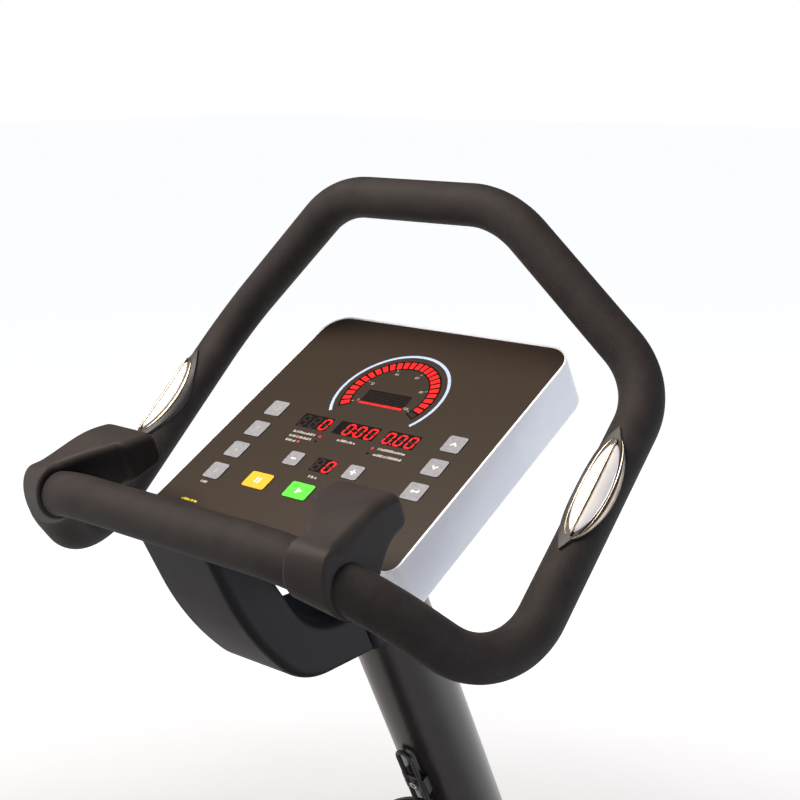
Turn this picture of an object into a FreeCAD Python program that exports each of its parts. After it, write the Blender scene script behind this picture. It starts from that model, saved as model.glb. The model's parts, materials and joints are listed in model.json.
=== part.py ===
import FreeCAD, Part
import math
import os

# Upright exercise bike. Millimetres, +X to the rider's right, +Y forward, +Z up.
# The origin is on the floor, under the centre of the whole bike.

V = FreeCAD.Vector
X_AXIS = V(1, 0, 0)
Y_AXIS = V(0, 1, 0)
Z_AXIS = V(0, 0, 1)

# ---------------------------------------------------------------- driving dimensions

BIKE_LENGTH = 1230.0
RUNNING_GAP = 0.05          # radial gap between a shaft and its hole
BODY_GAP = 0.35             # gap between pieces that move past each other

# frame on the floor
TUBE_Z = 52.0               # height of the stabiliser tubes and of the base beam
STABILISER_R = 30.0
FRONT_STABILISER_LENGTH = 500.0
REAR_STABILISER_LENGTH = 540.0
CAP_R = 33.0
CAP_LENGTH = 62.0
BEAM_WIDTH = 80.0
BEAM_HEIGHT = 50.0
BEAM_WALL = 3.0
BEAM_TOP = TUBE_Z + BEAM_HEIGHT / 2
FRAME_BOLT_X = (-24.0, 24.0)
FRAME_BOLT_R = 4.0
WHEEL_R = 28.0
WHEEL_WIDTH = 22.0
WHEEL_X = 150.0
WHEEL_Z = 35.0
WHEEL_Y = BIKE_LENGTH / 2 - WHEEL_R
REAR_Y = -BIKE_LENGTH / 2 + CAP_R
FRONT_Y = WHEEL_Y - STABILISER_R - WHEEL_R + 1

# console, handlebar and mast
CONSOLE_Y = 40.0            # console reference point, at the near end of its tilted face plane
CONSOLE_Z = 1100.0
CONSOLE_TILT = 28.4
FACE_WIDTH = 304.0
FACE_NEAR = 85.0
FACE_FAR = 391.5
CASE_DEPTH = 54.0
CASE_WALL = 2.2
OVERLAY_THICKNESS = 2.4
GRIP_R = 20.0
BAR_R = 16.0
BAR_WALL = 2.0
MAST_R = 43.7
MAST_WALL = 3.0
MAST_LEAN = 25.53
MAST_HEAD = V(0, 335.7, 918.8)
MAST_LENGTH_DOWN = 420.0
CAGE_SCREWS = (97.0, 161.0)      # distances down the mast

# crank, belt and flywheel
CRANK = V(0, -240, 320)
CRANK_LENGTH = 170.0
CRANK_REST_ANGLE = -35.0    # right crank arm, degrees below the forward horizontal
FLYWHEEL = V(0, 230, 330)
FLYWHEEL_R = 125.0
CRANK_PULLEY_R = 130.0
SMALL_PULLEY_R = 20.0
IDLER_R = 22.0
PULLEY_X = 44.0
PULLEY_WIDTH = 16.0
BELT_THICKNESS = 4.0
AXLE_R = 10.0
ARM_X = 88.0
ARM_THICKNESS = 16.0
PEDAL_X = 118.0
PEDAL_WIDTH = 92.0
SPINDLE_R = 7.0
SPINDLE_COLLAR_R = 9.5
SHROUD_HALF_WIDTH = 78.0
SHROUD_WALL = 3.0

# seat
SEAT_FOOT = V(0, -330, 400)
SEAT_LEAN = 17.0
SEAT_TUBE_R = 30.0
SEAT_TUBE_WALL = 2.5
SEAT_TUBE_TOP = 303.0
POST_R = 24.0
POST_BOTTOM = 100.0
POST_TOP = 453.0
PIN_HEIGHT = 270.0
PIN_R = 5.0
PIN_LENGTH = 44.0
KNOB_SOCKET = 8.0
GROOVE_DEPTH = 4.0
SADDLE_Y = -470.0
SADDLE_BASE_Z = 862.0


# ---------------------------------------------------------------- helpers

def cylinder(radius, length, start, axis):
    """A cylinder whose first end is centred on start."""
    return Part.makeCylinder(radius, length, start, axis)


def x_cylinder(radius, x0, x1, y, z):
    return cylinder(radius, x1 - x0, V(x0, y, z), X_AXIS)


def ring(outer, inner, length, start, axis):
    overshoot = 1.0
    hole = cylinder(inner, length + 2 * overshoot, start - axis * overshoot, axis)
    return cylinder(outer, length, start, axis).cut(hole)


def x_ring(outer, inner, x0, x1, y, z):
    return ring(outer, inner, x1 - x0, V(x0, y, z), X_AXIS)


def box(x0, x1, y0, y1, z0, z1):
    return Part.makeBox(x1 - x0, y1 - y0, z1 - z0, V(x0, y0, z0))


def union(shapes):
    result = shapes[0]
    for shape in shapes[1:]:
        result = result.fuse(shape)
    return result.removeSplitter()


def mirrored(shape):
    return shape.mirror(V(0, 0, 0), X_AXIS)


def with_mirror(shape):
    return Part.makeCompound([shape, mirrored(shape)])


def rounded_wire(corners):
    """A closed wire through (point, radius) corners, each rounded by its own radius."""
    count = len(corners)
    joints = []
    for i in range(count):
        point, radius = corners[i]
        before = (corners[i - 1][0] - point).normalize()
        after = (corners[(i + 1) % count][0] - point).normalize()
        half = before.getAngle(after) / 2
        reach = radius / math.tan(half)
        centre_dir = (before + after).normalize()
        middle = point + centre_dir * (radius / math.sin(half) - radius)
        joints.append((point + before * reach, middle, point + after * reach))
    edges = []
    for i in range(count):
        start, middle, end = joints[i]
        edges.append(Part.Arc(start, middle, end).toShape())
        edges.append(Part.LineSegment(end, joints[(i + 1) % count][0]).toShape())
    return Part.Wire(edges)


def yz_prism(corners, x0, x1):
    """A prism along X from an outline of (y, z, radius) corners."""
    wire = rounded_wire([(V(x0, y, z), radius) for y, z, radius in corners])
    return Part.Face(wire).extrude(V(x1 - x0, 0, 0))


def xy_prism(corners, z0, z1):
    """A prism along Z from an outline of (x, y, radius) corners."""
    wire = rounded_wire([(V(x, y, z0), radius) for x, y, radius in corners])
    return Part.Face(wire).extrude(V(0, 0, z1 - z0))


def rounded_block(x0, x1, y0, y1, z0, z1, radius):
    corners = [(x0, y0, radius), (x1, y0, radius), (x1, y1, radius), (x0, y1, radius)]
    return xy_prism(corners, z0, z1)


def soften(shape, radius, choose):
    """Fillet the edges that the test picks."""
    edges = [edge for edge in shape.Edges if choose(edge)]
    return shape.makeFillet(radius, edges)


def lies_at_x(edge, x):
    box_ = edge.BoundBox
    return abs(box_.XMin - x) < 0.01 and abs(box_.XMax - x) < 0.01


def lies_at_z(edge, z):
    box_ = edge.BoundBox
    return abs(box_.ZMin - z) < 0.01 and abs(box_.ZMax - z) < 0.01


def bent_tube(points, radii, outer, inner, closed=False):
    """Straight tubes joined by bends. radii holds one bend radius per corner."""
    count = len(points)
    corners = range(count) if closed else range(1, count - 1)
    leave = {}
    arrive = {}
    pieces = []
    for i in corners:
        here = points[i]
        before = (points[i - 1] - here).normalize()
        after = (points[(i + 1) % count] - here).normalize()
        half = before.getAngle(after) / 2
        reach = radii[i] / math.tan(half)
        arrive[i] = here + before * reach
        leave[i] = here + after * reach
        centre = here + (before + after).normalize() * (radii[i] / math.sin(half))
        turn = 180 - math.degrees(2 * half)
        axis = before.cross(after).normalize() * -1
        section = tube_section(arrive[i], before, outer, inner)
        pieces.append(section.revolve(centre, axis, turn))
    spans = range(count) if closed else range(count - 1)
    for i in spans:
        start = leave.get(i, points[i])
        end = arrive.get((i + 1) % count, points[(i + 1) % count])
        pieces.append(straight_tube(start, end, outer, inner))
    return union(pieces)


def tube_section(centre, axis, outer, inner):
    rim = Part.Face(Part.Wire(Part.makeCircle(outer, centre, axis)))
    if inner <= 0:
        return rim
    return rim.cut(Part.Face(Part.Wire(Part.makeCircle(inner, centre, axis))))


def straight_tube(start, end, outer, inner):
    along = end - start
    length = along.Length
    axis = along.normalize()
    if inner <= 0:
        return cylinder(outer, length, start, axis)
    return ring(outer, inner, length, start, axis)


def console_to_row(shape):
    """Place a shape made in console axes: x across, y up the face, z out of the face."""
    placed = shape.copy()
    placed.rotate(V(0, 0, 0), X_AXIS, CONSOLE_TILT)
    placed.translate(V(0, CONSOLE_Y, CONSOLE_Z))
    return placed


def in_row(x, y, z):
    """A point given relative to the console's reference point, with level axes."""
    return V(x, y + CONSOLE_Y, z + CONSOLE_Z)


MAST_DOWN = V(0, math.sin(math.radians(MAST_LEAN)), -math.cos(math.radians(MAST_LEAN)))
MAST_REAR = V(0, MAST_DOWN.z, -MAST_DOWN.y)
SEAT_UP = V(0, -math.sin(math.radians(SEAT_LEAN)), math.cos(math.radians(SEAT_LEAN)))
SEAT_FORWARD = V(0, SEAT_UP.z, -SEAT_UP.y)


def on_mast(distance):
    return MAST_HEAD + MAST_DOWN * distance


def on_seat_axis(distance):
    return SEAT_FOOT + SEAT_UP * distance


# ---------------------------------------------------------------- floor frame

def make_base_beam():
    x = BEAM_WIDTH / 2
    z0 = TUBE_Z - BEAM_HEIGHT / 2
    outer = box(-x, x, REAR_Y, FRONT_Y, z0, BEAM_TOP)
    inner = box(-x + BEAM_WALL, x - BEAM_WALL, REAR_Y - 1, FRONT_Y + 1, z0 + BEAM_WALL, BEAM_TOP - BEAM_WALL)
    beam = outer.cut(inner)
    for y in (REAR_Y, FRONT_Y):
        beam = beam.cut(x_cylinder(STABILISER_R + 0.2, -x - 1, x + 1, y, TUBE_Z))
    return beam


def make_stabiliser(length, y):
    tube = x_ring(STABILISER_R, STABILISER_R - 2.5, -length / 2, length / 2, y, TUBE_Z)
    for x in FRAME_BOLT_X:
        tube = tube.cut(cylinder(FRAME_BOLT_R, 40, V(x, y, TUBE_Z), Z_AXIS))
    return tube


def make_front_stabiliser():
    tube = make_stabiliser(FRONT_STABILISER_LENGTH, FRONT_Y)
    ears = []
    for side in (-1, 1):
        for offset in (-1, 1):
            middle = side * WHEEL_X + offset * (WHEEL_WIDTH / 2 + 3.5)
            corners = [(FRONT_Y + 20, TUBE_Z - 20, 4), (WHEEL_Y + 12, WHEEL_Z - 12, 10),
                       (WHEEL_Y + 12, WHEEL_Z + 12, 10), (FRONT_Y + 20, TUBE_Z + 20, 4)]
            ear = yz_prism(corners, middle - 2, middle + 2)
            ear = ear.cut(x_cylinder(STABILISER_R - 1, middle - 3, middle + 3, FRONT_Y, TUBE_Z))
            ears.append(ear.cut(x_cylinder(4.0, middle - 3, middle + 3, WHEEL_Y, WHEEL_Z)))
    return union([tube] + ears)


def make_end_cap(end_x, y):
    """A plastic cap over the tube's end, with a foot that stands on the floor."""
    start = end_x - CAP_LENGTH + 6
    cap = x_cylinder(CAP_R, start, end_x + 6, y, TUBE_Z)
    foot = rounded_block(start + 4, end_x + 2, y - 26, y + 26, 0, TUBE_Z, 8)
    pocket = x_cylinder(STABILISER_R, start - 1, end_x, y, TUBE_Z)
    return union([cap, foot]).cut(pocket)


def make_end_caps():
    caps = [make_end_cap(FRONT_STABILISER_LENGTH / 2, FRONT_Y), make_end_cap(REAR_STABILISER_LENGTH / 2, REAR_Y)]
    return Part.makeCompound(caps + [mirrored(cap) for cap in caps])


def make_transport_wheel():
    x0 = WHEEL_X - WHEEL_WIDTH / 2
    x1 = WHEEL_X + WHEEL_WIDTH / 2
    wheel = x_cylinder(WHEEL_R, x0, x1, WHEEL_Y, WHEEL_Z)
    wheel = wheel.makeFillet(4, [edge for edge in wheel.Edges if lies_at_x(edge, x0) or lies_at_x(edge, x1)])
    for start, end in ((x0 - 1, x0 + 5), (x1 - 5, x1 + 1)):
        wheel = wheel.cut(x_ring(19, 9, start, end, WHEEL_Y, WHEEL_Z))
    return wheel.cut(x_cylinder(4.0 + RUNNING_GAP, x0 - 2, x1 + 2, WHEEL_Y, WHEEL_Z))


def make_wheel_axle():
    reach = WHEEL_WIDTH / 2 + 5.5
    rod = x_cylinder(4.0, WHEEL_X - reach, WHEEL_X + reach, WHEEL_Y, WHEEL_Z)
    head = x_cylinder(7.0, WHEEL_X - reach - 4, WHEEL_X - reach, WHEEL_Y, WHEEL_Z)
    nut = x_cylinder(6.5, WHEEL_X + reach, WHEEL_X + reach + 5, WHEEL_Y, WHEEL_Z)
    return union([rod, head, nut])


# ---------------------------------------------------------------- post, mast and seat tube

POST_CORNER = on_mast(460)
SPIGOT_BEND = 70.0
SPIGOT_R = 40.5
SPIGOT_WALL = 3.0


def post_path():
    return [on_mast(330), POST_CORNER, V(0, POST_CORNER.y, BEAM_TOP)]


def make_front_post():
    """Leaning spigot inside the mast, bent to stand upright on the base beam."""
    post = bent_tube(post_path(), [0, SPIGOT_BEND, 0], SPIGOT_R, SPIGOT_R - SPIGOT_WALL)
    post = post.cut(x_cylinder(STABILISER_R, -60, 60, FRONT_Y, TUBE_Z))
    return post.cut(cylinder(9, 60, V(0, POST_CORNER.y, BEAM_TOP + 23), V(0, -1, 0)))


def make_mast():
    top = -250.0
    mast = ring(MAST_R, MAST_R - MAST_WALL, MAST_LENGTH_DOWN - top, on_mast(top), MAST_DOWN)
    above_case = console_to_row(Part.makeBox(400, 400, 200, V(-200, 0, -CASE_DEPTH)))
    mast = mast.cut(above_case)
    for distance in CAGE_SCREWS:
        mast = mast.cut(cylinder(2.5, 60, on_mast(distance), MAST_REAR))
    return mast.cut(cylinder(17, 60, STEM_PATH[2], V(0, -1, 0)))


def make_seat_tube():
    bottom = (BEAM_TOP - SEAT_FOOT.z) / SEAT_UP.z - 15
    start = on_seat_axis(bottom)
    tube = ring(SEAT_TUBE_R, SEAT_TUBE_R - SEAT_TUBE_WALL, SEAT_TUBE_TOP - bottom, start, SEAT_UP)
    tube = tube.cut(box(-60, 60, -400, 0, 0, BEAM_TOP))
    return tube.cut(cylinder(11, 40, on_seat_axis(PIN_HEIGHT), SEAT_FORWARD))


def make_seat_sleeve():
    inner = POST_R + RUNNING_GAP
    body = ring(SEAT_TUBE_R - SEAT_TUBE_WALL, inner, 65, on_seat_axis(SEAT_TUBE_TOP - 65), SEAT_UP)
    flange = ring(SEAT_TUBE_R + 3, inner, 6, on_seat_axis(SEAT_TUBE_TOP), SEAT_UP)
    sleeve = union([body, flange])
    return sleeve.cut(cylinder(PIN_R + 1, 40, on_seat_axis(PIN_HEIGHT), SEAT_FORWARD))


def make_seat_pin_housing():
    """Threaded boss on the seat tube that guides the pull pin and holds its spring."""
    start = on_seat_axis(PIN_HEIGHT) + SEAT_FORWARD * (SEAT_TUBE_R - SEAT_TUBE_WALL)
    boss = cylinder(11, 26, start, SEAT_FORWARD)
    boss = boss.cut(cylinder(PIN_R + RUNNING_GAP, 40, start - SEAT_FORWARD * 5, SEAT_FORWARD))
    pocket_start = start + SEAT_FORWARD * 6
    pocket = cylinder(8.5, 17, pocket_start, SEAT_FORWARD)
    return boss.cut(pocket)


def make_seat_pin():
    return cylinder(PIN_R, PIN_LENGTH, pin_tip(), SEAT_FORWARD)


def pin_tip():
    return on_seat_axis(PIN_HEIGHT) + SEAT_FORWARD * (POST_R - GROOVE_DEPTH + 0.6)


def make_pull_knob():
    start = pin_tip() + SEAT_FORWARD * (PIN_LENGTH - KNOB_SOCKET)
    neck = cylinder(9, KNOB_SOCKET, start, SEAT_FORWARD)
    head = cylinder(17, 16, start + SEAT_FORWARD * KNOB_SOCKET, SEAT_FORWARD)
    head = head.makeFillet(4, [edge for edge in head.Edges if edge.Closed and edge.Length > 90])
    knob = union([neck, head])
    return knob.cut(cylinder(PIN_R, KNOB_SOCKET, start, SEAT_FORWARD))


# ---------------------------------------------------------------- crank, belt drive and flywheel

def make_bottom_bracket():
    """Bearing shell for the crank, welded to an upright on the beam and to the seat tube."""
    shell = x_ring(26, 18.5, -34, 34, CRANK.y, CRANK.z)
    upright = box(-24, 24, CRANK.y - 2, CRANK.y + 38, BEAM_TOP, CRANK.z)
    hollow = box(-21, 21, CRANK.y + 1, CRANK.y + 35, BEAM_TOP - 1, CRANK.z + 1)
    around_shell = x_cylinder(26, -40, 40, CRANK.y, CRANK.z)
    upright = upright.cut(hollow).cut(around_shell)
    upright = upright.cut(cylinder(SEAT_TUBE_R, 500, on_seat_axis(-400), SEAT_UP))
    return union([shell, upright])


def make_crank_bearings():
    return with_mirror(x_ring(18.5, AXLE_R, 22, 34, CRANK.y, CRANK.z))


def make_crank_axle():
    rod = x_cylinder(AXLE_R, -ARM_X - ARM_THICKNESS, ARM_X + ARM_THICKNESS, CRANK.y, CRANK.z)
    collar = x_cylinder(14, 36, PULLEY_X, CRANK.y, CRANK.z)
    return union([rod, collar])


def grooved_pulley(radius, centre, bore, grooves):
    """Belt pulley with small V grooves round its rim."""
    depth = 1.6
    pitch = PULLEY_WIDTH / (grooves + 1)
    points = [V(PULLEY_X, bore, 0), V(PULLEY_X, radius, 0)]
    for i in range(grooves):
        middle = PULLEY_X + pitch * (i + 1)
        points.append(V(middle - pitch / 2, radius, 0))
        points.append(V(middle, radius - depth, 0))
    points.append(V(PULLEY_X + PULLEY_WIDTH - pitch / 2, radius, 0))
    points.append(V(PULLEY_X + PULLEY_WIDTH, radius, 0))
    points.append(V(PULLEY_X + PULLEY_WIDTH, bore, 0))
    points.append(points[0])
    profile = Part.Face(Part.makePolygon(points))
    pulley = profile.revolve(V(0, 0, 0), X_AXIS, 360)
    pulley.translate(V(0, centre.y, centre.z))
    return pulley


def make_crank_pulley():
    pulley = grooved_pulley(CRANK_PULLEY_R, CRANK, AXLE_R, 6)
    dish = x_ring(CRANK_PULLEY_R - 12, 26, PULLEY_X + 6, PULLEY_X + PULLEY_WIDTH + 1, CRANK.y, CRANK.z)
    pulley = pulley.cut(dish)
    for i in range(6):
        angle = math.radians(60 * i)
        y = CRANK.y + 72 * math.cos(angle)
        z = CRANK.z + 72 * math.sin(angle)
        pulley = pulley.cut(x_cylinder(24, PULLEY_X - 1, PULLEY_X + PULLEY_WIDTH, y, z))
    return pulley


def belt_outline(offset, x):
    """Open belt line round both pulleys, offset outwards from their rims."""
    big = CRANK_PULLEY_R + offset
    small = SMALL_PULLEY_R + offset
    across = V(0, FLYWHEEL.y - CRANK.y, FLYWHEEL.z - CRANK.z)
    heading = math.atan2(across.z, across.y)
    wrap = math.acos((big - small) / across.Length)

    def rim(centre, radius, angle):
        return V(x, centre.y + radius * math.cos(angle), centre.z + radius * math.sin(angle))

    top_big = rim(CRANK, big, heading + wrap)
    top_small = rim(FLYWHEEL, small, heading + wrap)
    low_big = rim(CRANK, big, heading - wrap)
    low_small = rim(FLYWHEEL, small, heading - wrap)
    edges = [Part.LineSegment(top_big, top_small).toShape(),
             Part.Arc(top_small, rim(FLYWHEEL, small, heading), low_small).toShape(),
             Part.LineSegment(low_small, low_big).toShape(),
             Part.Arc(low_big, rim(CRANK, big, heading + math.pi), top_big).toShape()]
    return Part.Face(Part.Wire(edges))


def make_drive_belt():
    x0 = PULLEY_X + 1.5
    width = V(PULLEY_WIDTH - 3, 0, 0)
    outer = belt_outline(BODY_GAP + BELT_THICKNESS, x0).extrude(width)
    return outer.cut(belt_outline(BODY_GAP, x0).extrude(width))


def make_flywheel():
    rim = x_ring(FLYWHEEL_R, 98, -20, 20, FLYWHEEL.y, FLYWHEEL.z)
    web = x_ring(99, 20, -5, 5, FLYWHEEL.y, FLYWHEEL.z)
    hub = x_ring(24, 8.5, -22, 22, FLYWHEEL.y, FLYWHEEL.z)
    wheel = union([rim, web, hub])
    for i in range(5):
        angle = math.radians(72 * i + 90)
        y = FLYWHEEL.y + 62 * math.cos(angle)
        z = FLYWHEEL.z + 62 * math.sin(angle)
        wheel = wheel.cut(x_cylinder(18, -6, 6, y, z))
    return wheel


def make_flywheel_axle():
    """Flywheel shaft with the small belt pulley turned on its end."""
    rod = x_cylinder(8.5, -44, PULLEY_X + 1, FLYWHEEL.y, FLYWHEEL.z)
    pulley = grooved_pulley(SMALL_PULLEY_R, FLYWHEEL, 0.0, 6)
    return union([rod, pulley])


def make_flywheel_bearings():
    return with_mirror(x_ring(20, 8.5, 27, 39, FLYWHEEL.y, FLYWHEEL.z))


def make_flywheel_bracket():
    corners = [(FLYWHEEL.y - 45, BEAM_TOP, 2), (FLYWHEEL.y + 45, BEAM_TOP, 2),
               (FLYWHEEL.y + 30, FLYWHEEL.z + 30, 26), (FLYWHEEL.y - 30, FLYWHEEL.z + 30, 26)]
    plate = yz_prism(corners, 27, 39)
    plate = plate.cut(x_cylinder(20, 20, 45, FLYWHEEL.y, FLYWHEEL.z))
    return Part.makeCompound([plate.fuse(make_idler_mount()).removeSplitter(), mirrored(plate)])


def idler_centre():
    """The idler touches the outside of the belt's lower run, a little behind the flywheel."""
    across = V(0, FLYWHEEL.y - CRANK.y, FLYWHEEL.z - CRANK.z)
    heading = math.atan2(across.z, across.y)
    big = CRANK_PULLEY_R + BODY_GAP + BELT_THICKNESS
    small = SMALL_PULLEY_R + BODY_GAP + BELT_THICKNESS
    angle = heading - math.acos((big - small) / across.Length)
    outward = V(0, math.cos(angle), math.sin(angle))
    along = V(0, math.sin(angle), -math.cos(angle))
    return FLYWHEEL + outward * (small + BODY_GAP + IDLER_R) + along * 60


def make_idler_pulley():
    centre = idler_centre()
    wheel = x_ring(IDLER_R, 5.0 + RUNNING_GAP, PULLEY_X, PULLEY_X + PULLEY_WIDTH, centre.y, centre.z)
    groove = x_ring(17, 9, PULLEY_X + PULLEY_WIDTH - 4, PULLEY_X + PULLEY_WIDTH + 1, centre.y, centre.z)
    return wheel.cut(groove)


def make_idler_mount():
    """Arm and stub axle that carry the idler from the flywheel bracket's right plate."""
    centre = idler_centre()
    corners = [(FLYWHEEL.y - 20, FLYWHEEL.z - 90, 6), (FLYWHEEL.y + 20, FLYWHEEL.z - 90, 6),
               (FLYWHEEL.y + 20, FLYWHEEL.z - 50, 6), (centre.y, centre.z + 12, 10),
               (centre.y - 14, centre.z, 10), (centre.y, centre.z - 12, 10)]
    arm = yz_prism(corners, 33, 38)
    stub = x_cylinder(5.0, 37, PULLEY_X + PULLEY_WIDTH + 2, centre.y, centre.z)
    shoulder = x_cylinder(8, 37, PULLEY_X - 1, centre.y, centre.z)
    head = x_cylinder(8, PULLEY_X + PULLEY_WIDTH + 1, PULLEY_X + PULLEY_WIDTH + 4, centre.y, centre.z)
    return union([arm, stub, shoulder, head])


def make_brake_yoke():
    """Fixed electromagnet core that straddles the flywheel's rim, on a stem from the beam."""
    y0 = FLYWHEEL.y + FLYWHEEL_R - 24
    core = box(-36, 36, y0, y0 + 62, FLYWHEEL.z - 24, FLYWHEEL.z + 24)
    slot = box(-22.5, 22.5, y0 - 1, FLYWHEEL.y + FLYWHEEL_R + 3, FLYWHEEL.z - 25, FLYWHEEL.z + 25)
    stem = box(-20, 20, y0 + 50, y0 + 58, BEAM_TOP, FLYWHEEL.z - 20)
    return union([core.cut(slot), stem])


def make_brake_coils():
    y = FLYWHEEL.y + FLYWHEEL_R - 8
    return with_mirror(x_cylinder(16, 36, 52, y, FLYWHEEL.z))


def make_controller():
    y = POST_CORNER.y
    case = rounded_block(-30, 30, y - 130, y - 62, BEAM_TOP, BEAM_TOP + 40, 5)
    return case


def make_console_cable():
    """Cable from the console down the mast and the post to the controller."""
    low = BEAM_TOP + 23
    y = POST_CORNER.y
    points = [on_mast(-275), POST_CORNER, V(0, y, low), V(0, y - 62, low)]
    return bent_tube(points, [0, SPIGOT_BEND, 42, 0], 3.5, 0)


# ---------------------------------------------------------------- shrouds

def shroud_corners(inset):
    """Side outline of the housing, moved inwards by inset."""
    d = inset
    return [(-395 + d, 108 + d, 70 - d), (560 - d, 108 + d, 60 - d), (598 - d, 300, 160 - d),
            (578 - d, 600 - d, 50 - d), (400, 600 - d, 110 + d), (-60, 452 - d, 260 + d),
            (-335, 622 - d, 40 - d), (-468 + d, 622 - d, 40 - d), (-432 + d, 420, 160)]


def make_shroud(side):
    outer = yz_prism(shroud_corners(0), 0.2, SHROUD_HALF_WIDTH)
    outer = soften(outer, 22, lambda edge: lies_at_x(edge, SHROUD_HALF_WIDTH))
    inner = yz_prism(shroud_corners(SHROUD_WALL), -1, SHROUD_HALF_WIDTH - SHROUD_WALL)
    inner = soften(inner, 19, lambda edge: lies_at_x(edge, SHROUD_HALF_WIDTH - SHROUD_WALL))
    shell = outer.cut(inner)
    shell = shell.cut(x_cylinder(16, 0, 100, CRANK.y, CRANK.z))
    shell = shell.cut(cylinder(MAST_R + 0.3, 300, on_mast(200), MAST_DOWN))
    shell = shell.cut(cylinder(SEAT_TUBE_R + 0.3, 300, on_seat_axis(100), SEAT_UP))
    shell = shell.cut(bent_tube(post_path(), [0, SPIGOT_BEND, 0], SPIGOT_R + 0.3, 0))
    shell = shell.cut(box(-1, 26, CRANK.y - 4, CRANK.y + 40, BEAM_TOP, 130))
    shell = shell.cut(cylinder(SEAT_TUBE_R + 0.3, 200, on_seat_axis(-350), SEAT_UP))
    shell = shell.cut(box(-1, 41, FLYWHEEL.y - 60, FLYWHEEL.y + 60, BEAM_TOP, 130))
    shell = shell.cut(box(-1, 31, FLYWHEEL.y + 140, POST_CORNER.y - 55, BEAM_TOP, 130))
    if side < 0:
        return mirrored(shell)
    return shell


# ---------------------------------------------------------------- cranks and pedals

def crank_end(side):
    angle = math.radians(CRANK_REST_ANGLE)
    reach = CRANK_LENGTH * side
    return V(0, CRANK.y + reach * math.cos(angle), CRANK.z + reach * math.sin(angle))


def make_crank_arm(side):
    end = crank_end(side)
    x0 = ARM_X if side > 0 else -ARM_X - ARM_THICKNESS
    x1 = x0 + ARM_THICKNESS
    boss = x_cylinder(20, x0, x1, CRANK.y, CRANK.z)
    eye = x_cylinder(14, x0, x1, end.y, end.z)
    along = (end - CRANK)
    length = along.Length
    bar = Part.makeBox(ARM_THICKNESS - 4, length, 22, V(x0 + 2, 0, -11))
    bar.rotate(V(0, 0, 0), X_AXIS, math.degrees(math.atan2(along.z, along.y)))
    bar.translate(V(0, CRANK.y, CRANK.z))
    arm = union([boss, eye, bar])
    arm = arm.cut(x_cylinder(AXLE_R, x0 - 1, x1 + 1, CRANK.y, CRANK.z))
    return arm.cut(x_cylinder(SPINDLE_R, x0 - 1, x1 + 1, end.y, end.z))


def make_pedal_spindles():
    spindles = []
    for side in (-1, 1):
        end = crank_end(side)
        rod = x_cylinder(SPINDLE_R, ARM_X, PEDAL_X + PEDAL_WIDTH - 14, end.y, end.z)
        collar = x_cylinder(SPINDLE_COLLAR_R, ARM_X + ARM_THICKNESS, PEDAL_X - 1, end.y, end.z)
        spindle = union([rod, collar])
        spindles.append(spindle if side > 0 else mirrored(spindle))
    return Part.makeCompound(spindles)


def make_pedal(side):
    """Moulded platform with ribs between its front and rear treads."""
    end = crank_end(side)
    x0 = PEDAL_X
    x1 = PEDAL_X + PEDAL_WIDTH
    y = end.y
    z = end.z
    frame = rounded_block(x0, x1, y - 50, y + 50, z - 11, z + 11, 16)
    for y0, y1 in ((y - 40, y - 17), (y + 17, y + 40)):
        frame = frame.cut(rounded_block(x0 + 12, x1 - 12, y0, y1, z - 12, z + 12, 6))
    ribs = []
    for i in range(3):
        middle = x0 + 24 + 22 * i
        ribs.append(box(middle - 3, middle + 3, y - 42, y + 42, z - 9, z + 9))
    barrel = x_cylinder(14, x0, x1, y, z)
    pedal = union([frame, barrel] + ribs)
    bore = x_cylinder(SPINDLE_R + RUNNING_GAP, x0 - 1, x1 - 8, y, z)
    pedal = pedal.cut(bore)
    return pedal if side > 0 else mirrored(pedal)


def make_pedal_strap(side):
    """Rubber strap that arches over the pedal from one side to the other."""
    end = crank_end(side)
    x0 = PEDAL_X - 3
    x1 = PEDAL_X + PEDAL_WIDTH + 3
    low = end.z - 8
    top = end.z + 66

    def arch(inset):
        corners = [(x0 + inset, low - inset), (x1 - inset, low - inset), (x1 - inset, end.z + 38),
                   (x1 - 22, top - inset), (x0 + 22, top - inset), (x0 + inset, end.z + 38)]
        radii = [0.5, 0.5, 24, 26, 26, 24]
        pairs = [(V(x, end.y - 6, z), radius) for (x, z), radius in zip(corners, radii)]
        return Part.Face(rounded_wire(pairs)).extrude(V(0, 34, 0))

    strap = arch(0).cut(arch(3))
    strap = strap.cut(box(x0 + 3, x1 - 3, end.y - 50, end.y + 50, low - 4, low + 4))
    strap = strap.cut(x_cylinder(SPINDLE_COLLAR_R + 0.6, x0 - 1, x0 + 4, end.y, end.z))
    return strap if side > 0 else mirrored(strap)


# ---------------------------------------------------------------- seat post and saddle

def make_seat_post():
    start = on_seat_axis(POST_BOTTOM)
    length = POST_TOP - POST_BOTTOM
    post = ring(POST_R, POST_R - 6.5, length, start, SEAT_UP)
    half = PIN_R + 0.6
    groove = Part.makeBox(2 * half, 20, 240, V(-half, POST_R - GROOVE_DEPTH, PIN_HEIGHT - 120))
    groove.rotate(V(0, 0, 0), X_AXIS, SEAT_LEAN)
    groove.translate(SEAT_FOOT)
    post = post.cut(groove)
    for i in range(9):
        hole = cylinder(PIN_R + 0.2, 30, on_seat_axis(PIN_HEIGHT - 100 + 25 * i), SEAT_FORWARD)
        post = post.cut(hole)
    return post


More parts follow.
